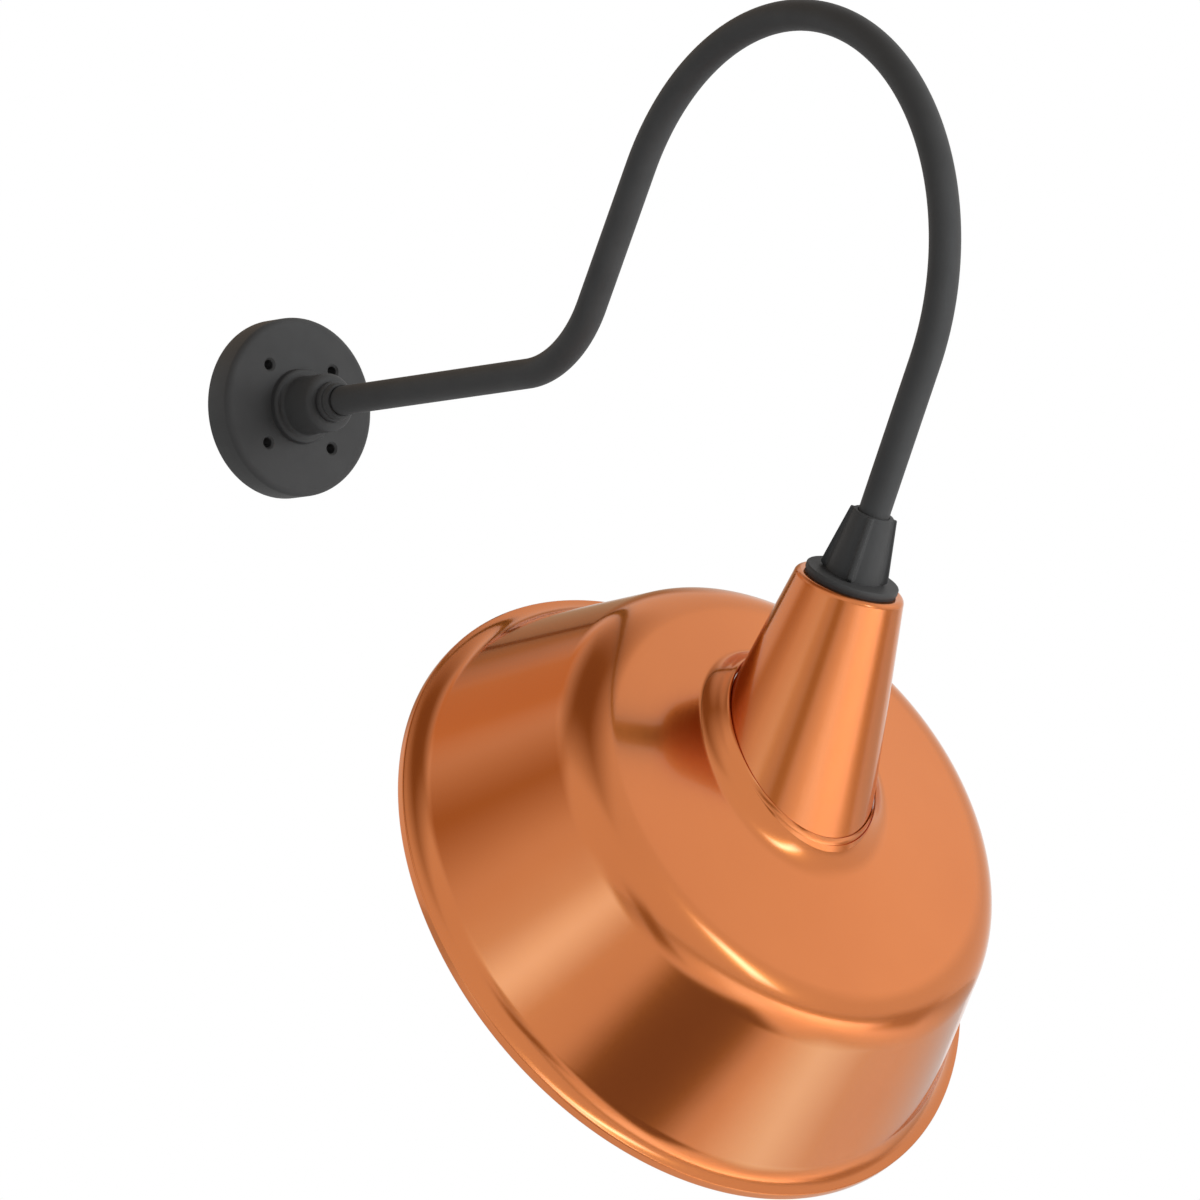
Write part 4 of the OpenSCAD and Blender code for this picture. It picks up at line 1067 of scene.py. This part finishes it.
def studio():
    """Floor, world, soft lights, cards and the camera of the photograph."""
    pale_world()
    bm = bmesh.new()
    bmesh.ops.create_grid(bm, x_segments=4, y_segments=4, size=FLOOR_HALF)
    bmesh.ops.translate(bm, vec=(0, 0, FLOOR_Z), verts=bm.verts[:])
    floor = make_object(bm, "studio_floor")
    floor.data.materials.append(floor_material(colour("floor")))
    # Azimuth, elevation, distance, width, height and power
    softbox("key_soft", 112, 8, 7.0, 4.0, 3.2, 680)
    softbox("fill_soft", -14, 4, 5.0, 2.4, 2.4, 48)
    # The same, with a level, the soft share of the edge and how warm. They stand for the room
    # that the photograph's copper reflects, and are set for this one view.
    glow_card("ceiling", 20, 78, 3.0, 4.6, 4.6, 0.3, 0.7, 1.0)
    glow_card("front_wall", -28, 25, 3.0, 2.4, 2.4, 0.5, 0.8, 1.0)
    glow_card("left_room", -72, 44, 3.4, 2.6, 2.4, 0.78, 0.6, 0.9)
    glow_card("back_corner", -112, 28, 3.2, 3.0, 2.4, 0.45, 0.5, 0.9)
    glow_card("camera_side", 43, -13, 2.4, 0.75, 1.5, 0.35, 0.6, 0.8)
    glow_card("dark_gap", 57, -54, 1.7, 1.55, 0.95, 0.26, 0.35, 0.7)
    glow_card("core_left", 10, -16, 2.4, 0.65, 0.9, 1.75, 1.0, -1.3)
    glow_card("glow_left", 9, -10, 2.6, 1.1, 1.6, 1.15, 0.8, -0.4)
    glow_card("glow_right", 86, -24, 2.6, 1.3, 1.0, 1.8, 0.8, -0.4)
    glow_card("core_low", 142, -60, 1.7, 1.0, 0.9, 1.45, 1.0, -1.4)
    glow_card("bounce_low", 148, -60, 1.9, 2.2, 2.0, 1.05, 0.5, -0.3)
    glow_card("dim_right", 148, -14, 2.8, 1.4, 1.2, 0.6, 0.6, 0.4)
    glow_card("glow_back", 150, 34, 2.8, 2.6, 2.2, 1.25, 0.6)
    glow_card("glow_edge", 102, 13, 2.4, 0.4, 1.1, 6.0, 0.7, -0.9)
    camera = bpy.data.cameras.new("photo_camera")
    camera.sensor_width, camera.lens = SENSOR_MM, LENS_MM
    camera.clip_start, camera.clip_end = 0.1, 100.0
    holder = bpy.data.objects.new("photo_camera", camera)
    back = direction(CAMERA_AZIMUTH, CAMERA_ELEVATION)
    right = Vector((0, 0, 1)).cross(back).normalized()
    up = back.cross(right)
    roll = math.radians(CAMERA_ROLL)
    across = right * math.cos(roll) + up * math.sin(roll)
    rise = up * math.cos(roll) - right * math.sin(roll)
    place = back * CAMERA_DISTANCE - across * CAMERA_ACROSS - rise * CAMERA_RISE
    holder.matrix_world = Matrix((
        (across.x, rise.x, back.x, place.x), (across.y, rise.y, back.y, place.y),
        (across.z, rise.z, back.z, place.z), (0, 0, 0, 1)))
    bpy.context.scene.collection.objects.link(holder)
    bpy.context.scene.camera = holder
    bpy.context.scene.view_settings.view_transform = "Standard"


class BARNLIGHT_OT_wall_mount(bpy.types.Operator):
    """Build the wall plate and the collar in its hub"""

    bl_idname = "barn_light.wall_mount"
    bl_label = "Wall Mount"

    def execute(self, context):
        s, rack = sizes(), finishes()
        wall_plate(s, rack)
        arm_ferrule(s, rack)
        return {"FINISHED"}


class BARNLIGHT_OT_arm(bpy.types.Operator):
    """Build the bent pipe"""

    bl_idname = "barn_light.arm"
    bl_label = "Gooseneck Arm"

    def execute(self, context):
        gooseneck_arm(sizes(), finishes())
        return {"FINISHED"}


class BARNLIGHT_OT_shade_hub(bpy.types.Operator):
    """Build the ribbed hub at the arm's lower end"""

    bl_idname = "barn_light.shade_hub"
    bl_label = "Shade Hub"

    def execute(self, context):
        shade_hub(sizes(), finishes())
        return {"FINISHED"}


class BARNLIGHT_OT_shade(bpy.types.Operator):
    """Build the copper neck and the copper shade"""

    bl_idname = "barn_light.shade"
    bl_label = "Copper Shade"

    def execute(self, context):
        s, rack = sizes(), finishes()
        neck_cone(s, rack)
        shade_bowl(s, rack)
        return {"FINISHED"}


class BARNLIGHT_OT_lamp(bpy.types.Operator):
    """Build the lamp's glass, screw cap and filament"""

    bl_idname = "barn_light.lamp"
    bl_label = "Lamp"

    def execute(self, context):
        s, rack = sizes(), finishes()
        lamp_glass(s, rack)
        lamp_cap(s, rack)
        lamp_filament(s, rack)
        return {"FINISHED"}


class BARNLIGHT_OT_fittings(bpy.types.Operator):
    """Give the screws, leads, lampholder and other kept nodes their finishes"""

    bl_idname = "barn_light.fittings"
    bl_label = "Fittings"

    def execute(self, context):
        dress_nodes(finishes())
        return {"FINISHED"}


class BARNLIGHT_OT_stage(bpy.types.Operator):
    """Build the floor, the lights and the camera"""

    bl_idname = "barn_light.stage"
    bl_label = "Studio Stage"

    def execute(self, context):
        studio()
        return {"FINISHED"}


OPERATORS = (
    BARNLIGHT_OT_wall_mount, BARNLIGHT_OT_arm, BARNLIGHT_OT_shade_hub, BARNLIGHT_OT_shade,
    BARNLIGHT_OT_lamp, BARNLIGHT_OT_fittings, BARNLIGHT_OT_stage,
)


class BARNLIGHT_PT_panel(bpy.types.Panel):
    """Sizes, colours and pieces of the barn light"""

    bl_idname = "BARNLIGHT_PT_panel"
    bl_label = "Barn Light"
    bl_space_type = "VIEW_3D"
    bl_region_type = "UI"
    bl_category = "Barn Light"

    def draw(self, context):
        layout = self.layout
        for group in (context.scene.barn_light_sizes, context.scene.barn_light_colours):
            box = layout.box()
            for name in group.__annotations__:
                box.prop(group, name)
        for operator in OPERATORS:
            layout.operator(operator.bl_idname)


CLASSES = (BarnLightSizes, BarnLightColours, *OPERATORS, BARNLIGHT_PT_panel)


def register():
    for cls in CLASSES:
        bpy.utils.register_class(cls)
    bpy.types.Scene.barn_light_sizes = bpy.props.PointerProperty(type=BarnLightSizes)
    bpy.types.Scene.barn_light_colours = bpy.props.PointerProperty(type=BarnLightColours)


def unregister():
    del bpy.types.Scene.barn_light_colours
    del bpy.types.Scene.barn_light_sizes
    for cls in reversed(CLASSES):
        bpy.utils.unregister_class(cls)


def main():
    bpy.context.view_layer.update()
    register()
    bpy.ops.barn_light.wall_mount()
    bpy.ops.barn_light.arm()
    bpy.ops.barn_light.shade_hub()
    bpy.ops.barn_light.shade()
    bpy.ops.barn_light.lamp()
    bpy.ops.barn_light.fittings()
    bpy.ops.barn_light.stage()
    bpy.context.view_layer.update()


if __name__ == "__main__":
    main()
